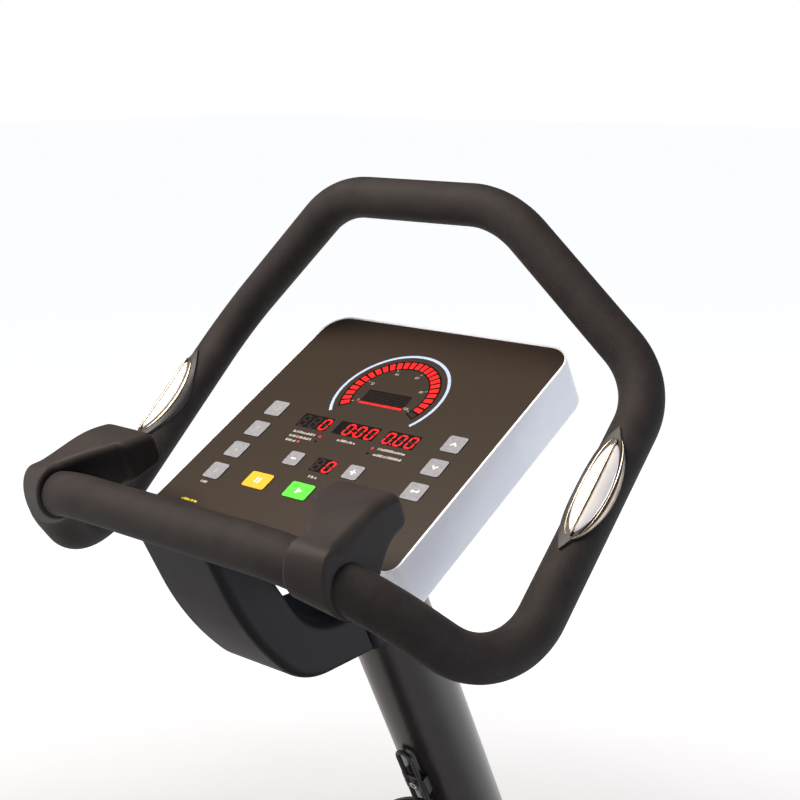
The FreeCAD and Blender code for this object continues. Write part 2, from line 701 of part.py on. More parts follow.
def make_saddle_clamp():
    """Head of the seat post: a level block that grips the saddle's two rails."""
    top = on_seat_axis(POST_TOP)
    block = rounded_block(-30, 30, top.y - 26, top.y + 26, top.z - 14, SADDLE_BASE_Z - 12, 6)
    socket = cylinder(POST_R, 60, on_seat_axis(POST_TOP - 60), SEAT_UP)
    skirt = ring(POST_R + 5, POST_R, 34, on_seat_axis(POST_TOP - 34), SEAT_UP)
    clamp = union([block.cut(socket), skirt])
    for x in (-22, 22):
        clamp = clamp.cut(cylinder(3.5, 80, V(x, top.y - 40, SADDLE_BASE_Z - 12), Y_AXIS))
    bolt = cylinder(4, 8, V(0, top.y + 26, top.z + 2), Y_AXIS)
    return union([clamp, bolt])


def make_saddle_rails():
    top = on_seat_axis(POST_TOP)
    z = SADDLE_BASE_Z - 12
    points = [V(22, SADDLE_Y - 80, z + 14), V(22, top.y - 34, z), V(22, top.y + 34, z), V(14, SADDLE_Y + 110, z + 14)]
    rail = bent_tube(points, [0, 40, 40, 0], 3.5, 0)
    return with_mirror(rail)


def saddle_outline(grow, z):
    """Egg-shaped plan: two round rear lobes and a narrow nose."""
    rear_r = 72 + grow
    nose_r = 30 + grow
    lobe = 40.0
    rear_y = SADDLE_Y - 50
    nose_y = SADDLE_Y + 108
    span = math.hypot(nose_y - rear_y, lobe)
    heading = math.atan2(nose_y - rear_y, -lobe)
    tangent = heading - math.acos((rear_r - nose_r) / span)
    out = V(math.cos(tangent), math.sin(tangent), 0)
    right = V(lobe, rear_y, z) + out * rear_r
    tip_right = V(0, nose_y, z) + out * nose_r
    low_right = V(lobe, rear_y - rear_r, z)
    side_right = V(lobe + rear_r * math.cos(-0.6), rear_y + rear_r * math.sin(-0.6), z)

    def flip(point):
        return V(-point.x, point.y, point.z)

    edges = [Part.Arc(low_right, side_right, right).toShape(),
             Part.LineSegment(right, tip_right).toShape(),
             Part.Arc(tip_right, V(0, nose_y + nose_r, z), flip(tip_right)).toShape(),
             Part.LineSegment(flip(tip_right), flip(right)).toShape(),
             Part.Arc(flip(right), flip(side_right), flip(low_right)).toShape(),
             Part.LineSegment(flip(low_right), low_right).toShape()]
    return Part.Wire(edges)


def make_saddle_base():
    plate = Part.Face(saddle_outline(-6, SADDLE_BASE_Z)).extrude(V(0, 0, 8))
    lugs = []
    for x, y in ((22, SADDLE_Y - 80), (14, SADDLE_Y + 106)):
        for sign in (-1, 1):
            lugs.append(box(sign * x - 5, sign * x + 5, y - 8, y + 12, SADDLE_BASE_Z - 3, SADDLE_BASE_Z + 1))
    base = union([plate] + lugs)
    return base.cut(make_saddle_rails())


def make_saddle_cushion():
    height = 44.0
    z = SADDLE_BASE_Z + 8
    pad = Part.Face(saddle_outline(0, z)).extrude(V(0, 0, height))
    pad = soften(pad, 16, lambda edge: lies_at_z(edge, z + height))
    return pad


# ---------------------------------------------------------------- handlebar, yoke and pads

def handlebar_points():
    far = in_row(99.5, 296.2, 318.7)
    shoulder = in_row(258.9, 302.2, 174.4)
    low = in_row(260.4, 83.7, -29.4)
    near = in_row(183.7, -29.3, 80.3)
    right = [far, shoulder, low, near]
    left = [V(-point.x, point.y, point.z) for point in reversed(right)]
    return right + left


REST_X0 = 113.0
REST_X1 = 177.0
SLEEVE_X0 = 148.0
SLEEVE_X1 = 183.0
REST_WALL = 3.0
BEND_RADII = [94, 74, 69, 130, 130, 69, 74, 94]
NEAR_BAR = in_row(0, -29.3, 80.3)
STEM_PATH = [in_row(0, -20, 80), in_row(0, 82, -66), in_row(0, 225, -66)]
STEM_BEND = 98.0
STEM_R = 16.5
STEM_WALL = 2.5


def make_handlebar():
    """Closed steel loop with a stem welded to the middle of its near bar."""
    loop = bent_tube(handlebar_points(), BEND_RADII, BAR_R, BAR_R - BAR_WALL, closed=True)
    stem = bent_tube(STEM_PATH, [0, STEM_BEND, 0], STEM_R, STEM_R - STEM_WALL)
    inside = cylinder(BAR_R - BAR_WALL, 60, NEAR_BAR - X_AXIS * 30, X_AXIS)
    return loop.fuse(stem.cut(inside)).removeSplitter()


def make_grip_foam():
    foam = bent_tube(handlebar_points(), BEND_RADII, GRIP_R, BAR_R, closed=True)
    along = (STEM_PATH[1] - STEM_PATH[0]).normalize()
    return foam.cut(cylinder(STEM_R, 45, STEM_PATH[0], along))


YOKE_HALF_WIDTH = 45.0
YOKE_WALL = 3.5
YOKE_EDGE = 8.0
YOKE_TOP_RISE = 22.0        # from the stem's axis to the arm cover's upper face


def top_path(rise):
    """The stem's path moved up in its own plane: two straight runs and one bend."""
    a, b, c = STEM_PATH
    first = (b - a).normalize()
    second = (c - b).normalize()
    normal_1 = V(0, -first.z, first.y)
    normal_2 = V(0, -second.z, second.y)
    half = first.getAngle(second) / 2
    corner = b + (normal_1 + normal_2).normalize() * (rise / math.cos(half))
    return a + normal_1 * rise, corner, c + normal_2 * rise


def yoke_prism(half_width, inset):
    top_a, top_b, top_c = top_path(YOKE_TOP_RISE - inset)
    lift = inset * 0.7
    end = 12 - inset
    corners = [(in_row(0, -32 + lift, 72), end), (in_row(0, 18 + lift, -27 + lift), 300),
               (in_row(0, 84 + lift, -92 + inset), 80), (in_row(0, 225, -89 + inset), end), (top_c, end),
               (top_b, STEM_BEND - YOKE_TOP_RISE), (top_a, end)]
    wire = rounded_wire([(V(-half_width, p.y, p.z), radius) for p, radius in corners])
    return Part.Face(wire).extrude(V(2 * half_width, 0, 0))


COLLAR_BACK = 66.0
COLLAR_TOP = -190.0
COLLAR_BOTTOM = -134.0


def mast_block(half_width, back, front, start, end, rounding):
    """A block in the mast's own axes; back and front are measured from the mast's axis."""
    block = Part.makeBox(2 * half_width, end - start, back - front, V(-half_width, start, front))
    block = soften(block, rounding, lambda edge: abs(edge.tangentAt(edge.FirstParameter).y) > 0.99)
    matrix = FreeCAD.Matrix(1, 0, 0, MAST_HEAD.x, 0, MAST_DOWN.y, MAST_REAR.y, MAST_HEAD.y,
                            0, MAST_DOWN.z, MAST_REAR.z, MAST_HEAD.z, 0, 0, 0, 1)
    return block.transformed(matrix)


def make_yoke():
    """Moulded arm cover from the near bar to the collar, hollow round the stem."""
    arm = yoke_prism(YOKE_HALF_WIDTH, 0)
    arm = arm.makeFillet(YOKE_EDGE, [edge for edge in arm.Edges if is_long_side(edge, YOKE_HALF_WIDTH)])
    arm = arm.cut(yoke_prism(YOKE_HALF_WIDTH - YOKE_WALL, YOKE_WALL))
    arm = arm.cut(bent_tube(STEM_PATH, [0, STEM_BEND, 0], STEM_R, 0))
    arm = arm.cut(cylinder(GRIP_R, 300, NEAR_BAR - X_AXIS * 150, X_AXIS))
    beyond = mast_block(80, COLLAR_BACK + 1.5, -200, -400, 300, 8)
    return arm.cut(beyond)


def is_long_side(edge, half_width):
    box_ = edge.BoundBox
    return abs(abs(box_.XMin) - half_width) < 0.01 and abs(box_.XMax - box_.XMin) < 0.01 and edge.Length > 5


def make_mast_collar():
    """Moulded collar round the mast where the arm meets it."""
    block = mast_block(47, COLLAR_BACK, -MAST_R - 4, COLLAR_TOP, COLLAR_BOTTOM, 8)
    hole = cylinder(MAST_R, 400, on_mast(-300), MAST_DOWN)
    collar = block.cut(hole)
    return collar.cut(cylinder(STEM_R, 140, STEM_PATH[2], V(0, -1, 0)))


def make_rest_pad(side):
    """Moulded rest: a sleeve on the bend of the near bar and a wider plate that reaches forward."""
    loop = handlebar_points()
    y = NEAR_BAR.y
    z = NEAR_BAR.z
    sleeve = bent_tube(loop, BEND_RADII, GRIP_R + REST_WALL, 0, closed=True)
    sleeve = sleeve.common(box(SLEEVE_X0, SLEEVE_X1, y - 60, y + 80, z - 90, z + 60))
    corners = [(y - 10, z + 20, 12), (y + 40, z + 34, 60), (y + 87, z + 41, 11), (y + 100, z + 13, 9),
               (y + 50, z - 8, 8), (y + 18, z - 18, 6), (y, z, 6)]
    plate = yz_prism(corners, REST_X0, SLEEVE_X1)
    plan = [(SLEEVE_X0, y - 30, 1), (SLEEVE_X1, y - 30, 1), (REST_X1, y + 105, 10), (REST_X0, y + 105, 12),
            (REST_X0, y + 59, 5), (REST_X0 + 8, y + 54, 5), (SLEEVE_X0, y + 10, 20)]
    plate = plate.common(xy_prism(plan, z - 60, z + 60))
    pad = sleeve.fuse(plate)
    pad = pad.cut(bent_tube(loop, BEND_RADII, GRIP_R, 0, closed=True))
    return pad if side > 0 else mirrored(pad)


# ---------------------------------------------------------------- pulse sensors

SENSOR_MIDDLE = 178.0       # distance from the loop's low corner, along the side tube


def leaf_prism(half_length, half_width, centre, along, normal):
    """A leaf outline of two arcs, pushed out along the normal."""
    across = along.cross(normal)
    tip_a = centre - along * half_length
    tip_b = centre + along * half_length
    arc_1 = Part.Arc(tip_a, centre + across * half_width, tip_b).toShape()
    arc_2 = Part.Arc(tip_b, centre - across * half_width, tip_a).toShape()
    return Part.Face(Part.Wire([arc_1, arc_2])).extrude(normal * 40)


def side_tube():
    points = handlebar_points()
    along = (points[1] - points[2]).normalize()
    across = X_AXIS - along * X_AXIS.dot(along)
    normal = across.normalize().cross(along).normalize()
    return points[2], along, normal


def make_sensor_layer(inner, outer, half_length, half_width):
    start, along, normal = side_tube()
    centre = start + along * SENSOR_MIDDLE
    shell = ring(outer, inner, 200, centre - along * 100, along)
    plate = shell.common(leaf_prism(half_length, half_width, centre, along, normal))
    return with_mirror(plate)


def make_sensor_bases():
    return make_sensor_layer(GRIP_R, GRIP_R + 2.6, 61, 17.5)


def make_pulse_sensors():
    return make_sensor_layer(GRIP_R + 2.6, GRIP_R + 5.2, 54, 14)


# ---------------------------------------------------------------- console

COLUMN_X = 110.0
COLUMN_KEY = (20.4, 21.0)   # width and height
ADJUST_KEY = (17.4, 18.0)
WIDE_KEY = (28.0, 19.8)
KEYS = {                    # place on the face and size
    "key_left_1": (-COLUMN_X, 240.0, COLUMN_KEY), "key_left_2": (-COLUMN_X, 208.3, COLUMN_KEY),
    "key_left_3": (-COLUMN_X, 176.6, COLUMN_KEY), "key_left_4": (-COLUMN_X, 145.0, COLUMN_KEY),
    "key_up": (COLUMN_X, 241.0, COLUMN_KEY), "key_down": (COLUMN_X, 209.0, COLUMN_KEY),
    "key_enter": (COLUMN_X, 177.0, COLUMN_KEY),
    "key_minus": (-38.7, 182.0, ADJUST_KEY), "key_plus": (35.3, 182.0, ADJUST_KEY),
    "key_pause": (-54.6, 146.0, WIDE_KEY), "key_start": (-2.6, 146.0, WIDE_KEY)}


def face_block(x0, x1, y0, y1, z0, z1, far_radius, near_radius):
    corners = [(x0, y0, near_radius), (x1, y0, near_radius), (x1, y1, far_radius), (x0, y1, far_radius)]
    return xy_prism(corners, z0, z1)


def make_console_case():
    """Deep tray with posts for the circuit board and a hole where the mast enters."""
    w = FACE_WIDTH / 2
    outer = face_block(-w, w, FACE_NEAR, FACE_FAR, -CASE_DEPTH, 0, 28, 14)
    outer = soften(outer, 5, lambda edge: lies_at_z(edge, -CASE_DEPTH))
    inner = face_block(-w + CASE_WALL, w - CASE_WALL, FACE_NEAR + CASE_WALL, FACE_FAR - CASE_WALL,
                       -CASE_DEPTH + CASE_WALL, 1, 25, 11)
    case = outer.cut(inner)
    posts = []
    for x in (-115, 115):
        for y in (FACE_NEAR + 35, FACE_FAR - 35):
            posts.append(cylinder(5, CASE_DEPTH - 17, V(x, y, -CASE_DEPTH + 1), Z_AXIS))
    case = union([case] + posts)
    case = console_to_row(case)
    return case.cut(cylinder(12, 80, on_mast(-270), MAST_DOWN))


def key_block(name, grow, z0, z1):
    x, y, (width, height) = KEYS[name]
    half_w = width / 2 + grow
    half_h = height / 2 + grow
    return rounded_block(x - half_w, x + half_w, y - half_h, y + half_h, z0, z1, 2.5 + grow)


def make_console_overlay():
    w = FACE_WIDTH / 2 - CASE_WALL
    near = FACE_NEAR + CASE_WALL
    far = FACE_FAR - CASE_WALL
    top = -0.4
    under = top - OVERLAY_THICKNESS
    lip_width = 4
    plate = face_block(-w, w, near, far, under, top, 25, 11)
    lip = face_block(-w, w, near, far, under - 2.2, under + 0.1, 25, 11)
    lip = lip.cut(face_block(-w + lip_width, w - lip_width, near + lip_width, far - lip_width, -10, 1, 21, 7))
    overlay = union([plate, lip])
    for name in KEYS:
        overlay = overlay.cut(key_block(name, BODY_GAP, -10, 5))
    return console_to_row(overlay)


def make_key(name):
    return console_to_row(key_block(name, 0, -4.0, 0.6))


def make_console_board():
    board = Part.makeBox(250, 252, 1.6, V(-125, FACE_NEAR + 25, -16))
    return console_to_row(board)


def make_led_displays():
    """Digit and bar-graph modules on the board, behind the face's dark windows."""
    blocks = []
    for x, y, width in ((-53, 233, 38), (0, 233, 50), (54, 233, 38), (-2, 182, 24), (0, 280, 54)):
        blocks.append(Part.makeBox(width, 19, 8, V(x - width / 2, y - 9.5, -14.4)))
    blocks.append(ring(58, 44, 8, V(0, 286.6, -14.4), Z_AXIS))
    blocks[-1] = blocks[-1].cut(Part.makeBox(140, 62, 20, V(-70, 225, -20)))
    return console_to_row(Part.makeCompound(blocks))


# ---------------------------------------------------------------- bottle cage



def mast_frame_point(x, back, distance):
    return V(x, 0, 0) + on_mast(distance) + MAST_REAR * back


def make_bottle_cage():
    """Wire cage on the mast's rear face: an upright hairpin, two plates and two hoops."""
    wire = 2.6
    back = MAST_R + 4.6
    hairpin = bent_tube([mast_frame_point(-9.5, back, 190), mast_frame_point(-9.5, back, 50),
                         mast_frame_point(9.5, back, 50), mast_frame_point(9.5, back, 190)],
                        [0, 8.5, 8.5, 0], wire, 0)
    pieces = [hairpin]
    bottle = 38.0
    for distance in (128.0, 186.0):
        hoop = Part.makeTorus(bottle, wire, mast_frame_point(0, back + bottle - 1, distance), MAST_DOWN)
        pieces.append(hoop)
    shelf = bent_tube([mast_frame_point(0, back, 186), mast_frame_point(0, back, 226),
                       mast_frame_point(0, back + 70, 226), mast_frame_point(0, back + 70, 186)],
                      [0, 12, 12, 0], wire, 0)
    pieces.append(shelf)
    for distance in CAGE_SCREWS:
        plate = mast_block(15, MAST_R + 5.4, MAST_R - 4, distance - 11, distance + 11, 2)
        pieces.append(plate)
    cage = union(pieces)
    cage = cage.cut(cylinder(MAST_R, 500, on_mast(-50), MAST_DOWN))
    for distance in CAGE_SCREWS:
        cage = cage.cut(cylinder(2.6, 60, on_mast(distance), MAST_REAR))
    return cage


# ---------------------------------------------------------------- fasteners

def bolt(start, axis, shaft_r, length, head_r, head):
    """A bolt that runs from start against axis, with its head standing out along axis."""
    shaft = cylinder(shaft_r, length, start - axis * length, axis)
    top = cylinder(head_r, head, start, axis)
    socket = cylinder(head_r * 0.5, head * 0.6, start + axis * head * 0.4, axis)
    return union([shaft, top]).cut(socket)


def make_cage_screws():
    return Part.makeCompound([bolt(on_mast(d) + MAST_REAR * (MAST_R + 5.4), MAST_REAR, 2.5, 10, 4.6, 3.4)
                              for d in CAGE_SCREWS])


def make_frame_bolts():
    """Bolts through the beam's ends into the stabilisers."""
    bolts = []
    for y in (REAR_Y, FRONT_Y):
        for x in FRAME_BOLT_X:
            start = V(x, y, TUBE_Z + STABILISER_R)
            bolts.append(bolt(start, Z_AXIS, FRAME_BOLT_R, 12, 7, 6))
    return Part.makeCompound(bolts)


SHROUD_SCREWS = ((-395, 160), (-200, 140), (330, 140), (545, 180), (540, 520), (200, 500), (-150, 460))


def make_shroud_screws():
    screws = []
    for y, z in SHROUD_SCREWS:
        for side in (-1, 1):
            start = V(side * SHROUD_HALF_WIDTH, y, z)
            screws.append(cylinder(4.2, 2.0, start, X_AXIS * side))
    return Part.makeCompound(screws)


# ---------------------------------------------------------------- output

def all_parts():
    parts = {
        "base_frame": union([make_base_beam(), make_bottom_bracket()]),
        "front_stabiliser": make_front_stabiliser(),
        "rear_stabiliser": make_stabiliser(REAR_STABILISER_LENGTH, REAR_Y),
        "stabiliser_end_caps": make_end_caps(),
        "transport_wheel_right": make_transport_wheel(),
        "transport_wheel_left": mirrored(make_transport_wheel()),
        "front_post": make_front_post(),
        "mast": make_mast(),
        "seat_tube": union([make_seat_tube(), make_seat_pin_housing()]),
        "seat_sleeve": make_seat_sleeve(),
        "seat_pin": make_seat_pin(),
        "pull_knob": make_pull_knob(),
        "bearings": Part.makeCompound([make_crank_bearings(), make_flywheel_bearings()]),
        "crank_axle": make_crank_axle(),
        "crank_pulley": make_crank_pulley(),
        "drive_belt": make_drive_belt(),
        "flywheel": union([make_flywheel(), make_flywheel_axle()]),
        "flywheel_bracket": make_flywheel_bracket(),
        "idler_pulley": make_idler_pulley(),
        "brake_magnet": union([make_brake_yoke(), make_brake_coils()]),
        "controller": make_controller(),
        "console_cable": make_console_cable(),
        "shroud_right": make_shroud(1),
        "shroud_left": make_shroud(-1),
        "cover_screws": Part.makeCompound([make_shroud_screws(), make_cage_screws()]),
        "crank_arm_right": make_crank_arm(1),
        "crank_arm_left": make_crank_arm(-1),
        "pedal_spindles": make_pedal_spindles(),
        "pedal_right": make_pedal(1),
        "pedal_left": make_pedal(-1),
        "pedal_strap_right": make_pedal_strap(1),
        "pedal_strap_left": make_pedal_strap(-1),
        "seat_post": make_seat_post(),
        "saddle_clamp": make_saddle_clamp(),
        "saddle_base": make_saddle_base().fuse(make_saddle_rails()),
        "saddle_cushion": make_saddle_cushion(),
        "handlebar": make_handlebar(),
        "grip_foam": make_grip_foam(),
        "yoke": make_yoke(),
        "mast_collar": make_mast_collar(),
        "rest_pad_right": make_rest_pad(1),
        "rest_pad_left": make_rest_pad(-1),
        "sensor_bases": make_sensor_bases(),
        "pulse_sensors": make_pulse_sensors(),
        "console_case": make_console_case(),
        "console_overlay": make_console_overlay(),
        "display_board": union([make_console_board(), make_led_displays()]),
        "bottle_cage": make_bottle_cage(),
        "frame_bolts": Part.makeCompound([make_frame_bolts(), with_mirror(make_wheel_axle())]),
    }
    for name in KEYS:
        parts[name] = make_key(name)
    return parts


os.makedirs("parts", exist_ok=True)
for node, shape in all_parts().items():
    shape.exportStep("parts/" + node + ".step")
    solids = shape.Solids
    print(node, len(solids), shape.isValid(), round(sum(s.Volume for s in solids) / 1000, 1))
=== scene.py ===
import json
import math
import random

import bmesh
import bpy
from mathutils import Matrix, Vector


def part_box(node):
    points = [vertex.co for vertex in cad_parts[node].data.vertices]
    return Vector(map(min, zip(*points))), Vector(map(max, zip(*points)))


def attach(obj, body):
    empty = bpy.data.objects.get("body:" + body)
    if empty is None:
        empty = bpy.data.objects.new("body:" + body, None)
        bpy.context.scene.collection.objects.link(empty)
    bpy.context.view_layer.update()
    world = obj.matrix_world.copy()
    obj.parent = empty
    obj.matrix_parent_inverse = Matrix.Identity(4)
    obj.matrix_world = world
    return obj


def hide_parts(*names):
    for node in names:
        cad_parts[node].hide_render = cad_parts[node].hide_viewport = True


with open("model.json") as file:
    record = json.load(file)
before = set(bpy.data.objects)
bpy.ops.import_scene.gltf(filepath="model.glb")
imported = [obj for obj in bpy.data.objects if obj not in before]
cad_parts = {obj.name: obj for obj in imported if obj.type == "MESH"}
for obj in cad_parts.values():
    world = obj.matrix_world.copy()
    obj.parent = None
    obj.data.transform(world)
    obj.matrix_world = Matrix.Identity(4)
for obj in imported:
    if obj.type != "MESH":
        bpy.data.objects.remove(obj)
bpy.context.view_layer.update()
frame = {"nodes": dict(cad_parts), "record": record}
NODES = frame["nodes"]
MM = 0.001

# Console axes: u across to the rider's right, v up the face, w out of the face, in millimetres.
CONSOLE = Vector((0.0, 0.040, 1.100))
CONSOLE_TILT = math.radians(28.4)
FACE_W = -0.4                # the faceplate's outer surface
FACE_TO_ROW = Matrix.Translation(CONSOLE) @ Matrix.Rotation(CONSOLE_TILT, 4, "X") @ Matrix.Scale(MM, 4)


def in_row(x, y, z):
    """A point in metres, given in millimetres from the console's reference point with level axes."""
    return CONSOLE + Vector((x, y, z)) * MM


# ---------------------------------------------------------------- materials

def node(tree, kind, **values):
    """A new shader node. Each value sets the node's own property, or else the input of that name."""
    made = tree.nodes.new(kind)
    for name, value in values.items():
        if hasattr(made, name):
            setattr(made, name, value)
        else:
            made.inputs[name.replace("_", " ")].default_value = value
    return made


MATERIALS = {}


def surface(name, low, high, roughness, grain=60.0, bump=0.0, bump_scale=900.0, metallic=0.0,
            spread=0.08, coat=0.0, sheen=0.0, specular=0.5, fleck=0.0, coat_roughness=0.08, depth=0.0004):
    """A material whose colour drifts between two tones, with uneven roughness and a fine grain."""
    made = bpy.data.materials.new(name)
    made.use_nodes = True
    tree = made.node_tree
    shader = tree.nodes["Principled BSDF"]
    shader.inputs["Metallic"].default_value = metallic
    shader.inputs["Coat Weight"].default_value = coat
    shader.inputs["Coat Roughness"].default_value = coat_roughness
    shader.inputs["Sheen Weight"].default_value = sheen
    shader.inputs["Sheen Roughness"].default_value = 0.4
    shader.inputs["Specular IOR Level"].default_value = specular
    place = node(tree, "ShaderNodeTexCoord")
    drift = node(tree, "ShaderNodeTexNoise", Scale=grain, Detail=5.0, Roughness=0.6)
    fine = node(tree, "ShaderNodeTexNoise", Scale=bump_scale, Detail=3.0, Roughness=0.65)
    tree.links.new(place.outputs["Object"], drift.inputs["Vector"])
    tree.links.new(place.outputs["Object"], fine.inputs["Vector"])
    tone = node(tree, "ShaderNodeValToRGB")
    tone.color_ramp.elements[0].position = 0.32
    tone.color_ramp.elements[0].color = (*low, 1)
    tone.color_ramp.elements[1].position = 0.68
    tone.color_ramp.elements[1].color = (*high, 1)
    mixed = node(tree, "ShaderNodeMix", data_type="FLOAT")
    mixed.inputs[0].default_value = fleck
    tree.links.new(drift.outputs["Fac"], mixed.inputs[2])
    tree.links.new(fine.outputs["Fac"], mixed.inputs[3])
    tree.links.new(mixed.outputs[0], tone.inputs["Fac"])
    tree.links.new(tone.outputs["Color"], shader.inputs["Base Color"])
    rough = node(tree, "ShaderNodeMapRange")
    rough.inputs["To Min"].default_value = max(roughness - spread, 0.02)
    rough.inputs["To Max"].default_value = min(roughness + spread, 1.0)
    tree.links.new(drift.outputs["Fac"], rough.inputs["Value"])
    tree.links.new(rough.outputs["Result"], shader.inputs["Roughness"])
    if bump > 0:
        raised = node(tree, "ShaderNodeBump", Strength=bump, Distance=depth)
        tree.links.new(fine.outputs["Fac"], raised.inputs["Height"])
        tree.links.new(raised.outputs["Normal"], shader.inputs["Normal"])
    MATERIALS[name] = made
    return made


def glowing(name, low, high, strength):
    """A lit LED: a coloured surface that also gives light, unevenly."""
    made = surface(name, low, high, 0.35, grain=500.0)
    tree = made.node_tree
    shader = tree.nodes["Principled BSDF"]
    tone = [n for n in tree.nodes if n.type == "VALTORGB"][0]
    tree.links.new(tone.outputs["Color"], shader.inputs["Emission Color"])
    shader.inputs["Emission Strength"].default_value = strength


def make_materials():
    surface("frame_paint", (0.016, 0.016, 0.018), (0.026, 0.026, 0.029), 0.42, 30, 0.25, 1400, coat=0.25,
            coat_roughness=0.2)
    surface("gloss_paint", (0.010, 0.008, 0.009), (0.016, 0.013, 0.014), 0.30, 24, 0.06, 700,
            spread=0.05, coat=0.3, coat_roughness=0.2)
    surface("crank_paint", (0.010, 0.010, 0.011), (0.022, 0.022, 0.024), 0.38, 50, 0.15, 1100)
    surface("bright_steel", (0.42, 0.42, 0.44), (0.62, 0.62, 0.64), 0.32, 200, 0.1, 2500, metallic=1.0)
    surface("chrome_steel", (0.74, 0.73, 0.72), (0.86, 0.85, 0.84), 0.10, 40, 0.02, 600, metallic=1.0,
            spread=0.04)
    surface("cast_iron", (0.10, 0.10, 0.105), (0.17, 0.17, 0.175), 0.5, 90, 0.5, 500, metallic=0.8)
    surface("black_plastic", (0.014, 0.014, 0.015), (0.024, 0.024, 0.026), 0.55, 60, 0.5, 1500)
    surface("shroud_plastic", (0.020, 0.020, 0.022), (0.032, 0.032, 0.035), 0.48, 18, 0.55, 1300,
            fleck=0.25)
    surface("arm_plastic", (0.0035, 0.0035, 0.0055), (0.0065, 0.006, 0.009), 0.48, 26, 0.15, 900,
            coat=0.02, coat_roughness=0.25, specular=0.17)
    surface("case_silver", (0.86, 0.88, 0.95), (0.92, 0.94, 0.99), 0.30, 20, 0.08, 1200, coat=0.3,
            coat_roughness=0.1, spread=0.05)
    surface("face_dark", (0.019, 0.012, 0.0065), (0.031, 0.0205, 0.0115), 0.42, 900, 0.12, 1800,
            coat=0.10, coat_roughness=0.15, spread=0.06, fleck=0.5, specular=0.3)
    surface("key_grey", (0.20, 0.205, 0.235), (0.26, 0.27, 0.30), 0.46, 300, 0.2, 2200)
    surface("key_yellow", (0.80, 0.36, 0.0), (0.90, 0.43, 0.004), 0.5, 300, 0.15, 2200)
    surface("key_green", (0.05, 0.55, 0.02), (0.08, 0.68, 0.03), 0.5, 300, 0.15, 2200)
    surface("board_green", (0.01, 0.10, 0.04), (0.02, 0.16, 0.06), 0.4, 200)
    surface("pin_knob", (0.012, 0.012, 0.013), (0.022, 0.022, 0.024), 0.4, 80, 0.4, 1500)
    surface("wheel_rubber", (0.018, 0.018, 0.019), (0.032, 0.032, 0.033), 0.7, 70, 0.6, 1200)
    surface("belt_rubber", (0.012, 0.012, 0.013), (0.024, 0.024, 0.024), 0.7, 120, 0.6, 1300)
    surface("strap_rubber", (0.016, 0.016, 0.017), (0.028, 0.028, 0.030), 0.6, 90, 0.5, 1500)
    surface("rest_rubber", (0.024, 0.0195, 0.019), (0.036, 0.0295, 0.028), 0.60, 22, 0.35, 1500,
            sheen=0.02, fleck=0.2, specular=0.18)
    surface("grip_foam", (0.015, 0.0125, 0.0125), (0.032, 0.0265, 0.0245), 0.62, 45, 0.9, 1100,
            sheen=0.02, fleck=0.45, depth=0.0006, specular=0.16)
    surface("saddle_cover", (0.014, 0.014, 0.015), (0.024, 0.024, 0.026), 0.5, 40, 0.7, 700, fleck=0.3,
            depth=0.0008)
    surface("print_white", (0.30, 0.285, 0.26), (0.42, 0.405, 0.375), 0.5, 700)
    surface("mark_white", (0.66, 0.65, 0.63), (0.80, 0.79, 0.77), 0.5, 700)
    surface("print_blue", (0.34, 0.43, 0.62), (0.44, 0.54, 0.74), 0.4, 300)
    surface("print_yellow", (0.70, 0.55, 0.02), (0.85, 0.68, 0.03), 0.5, 700)
    # Black of the display windows, and also painted shade in strap holes, screw recesses and vent slots.
    surface("black_window_and_painted_shade", (0.004, 0.003, 0.003), (0.009, 0.007, 0.006), 0.22, 400, 0.05, 2000)
    surface("led_off", (0.012, 0.006, 0.005), (0.020, 0.010, 0.008), 0.35, 800)
    glowing("led_red", (0.62, 0.003, 0.003), (0.80, 0.008, 0.006), 0.85)
    glowing("led_orange", (0.75, 0.04, 0.005), (0.85, 0.07, 0.01), 0.9)
    # Near-white with little metal: a painted reflection of the white surroundings on the chrome sensor
    # plates.
    surface("sensor_steel_painted_reflection", (0.86, 0.85, 0.84), (0.96, 0.95, 0.94), 0.20, 55, 0.05, 1800, metallic=0.30,
            spread=0.08)
    surface("sensor_rim", (0.20, 0.16, 0.12), (0.34, 0.28, 0.21), 0.24, 120, 0.06, 1800, metallic=0.9,
            spread=0.08)


def dress_nodes():
    """Give every carried-over node the material of its slot."""
    slots = {row["node"]: row["material_slot"] for row in frame["record"]["subparts"]}
    for name, piece in NODES.items():
        piece.data.materials.clear()
        piece.data.materials.append(MATERIALS[slots[name]])


# ---------------------------------------------------------------- mesh helpers

def add_mesh(name, points, faces, material, smooth=True):
    """A new mesh piece with its faces all turned outward."""
    mesh = bpy.data.meshes.new(name)
    mesh.from_pydata([tuple(p) for p in points], [], faces)
    mesh.update()
    made = bpy.data.objects.new(name, mesh)
    bpy.context.scene.collection.objects.link(made)
    mesh.materials.append(MATERIALS[material])
    tidy = bmesh.new()
    tidy.from_mesh(mesh)
    bmesh.ops.recalc_face_normals(tidy, faces=tidy.faces)
    tidy.to_mesh(mesh)
    tidy.free()
    if smooth:
        mesh.shade_smooth()
    return made


def smooth_step(value):
    """Ease from 0 to 1."""
    value = min(max(value, 0.0), 1.0)
    return value * value * (3 - 2 * value)


def settle(piece, body):
    """Let a piece ride on a body."""
    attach(piece, body)
    return piece


def apply_modifiers(piece):
    graph = bpy.context.evaluated_depsgraph_get()
    done = bpy.data.meshes.new_from_object(piece.evaluated_get(graph))
    piece.modifiers.clear()
    piece.data = done


def bevel(piece, width, segments=3, angle=40):
    piece.modifiers.new("edge", "BEVEL")
    edge = piece.modifiers["edge"]
    edge.width = width
    edge.segments = segments
    edge.limit_method = "ANGLE"
    edge.angle_limit = math.radians(angle)
    apply_modifiers(piece)
    piece.data.shade_smooth()


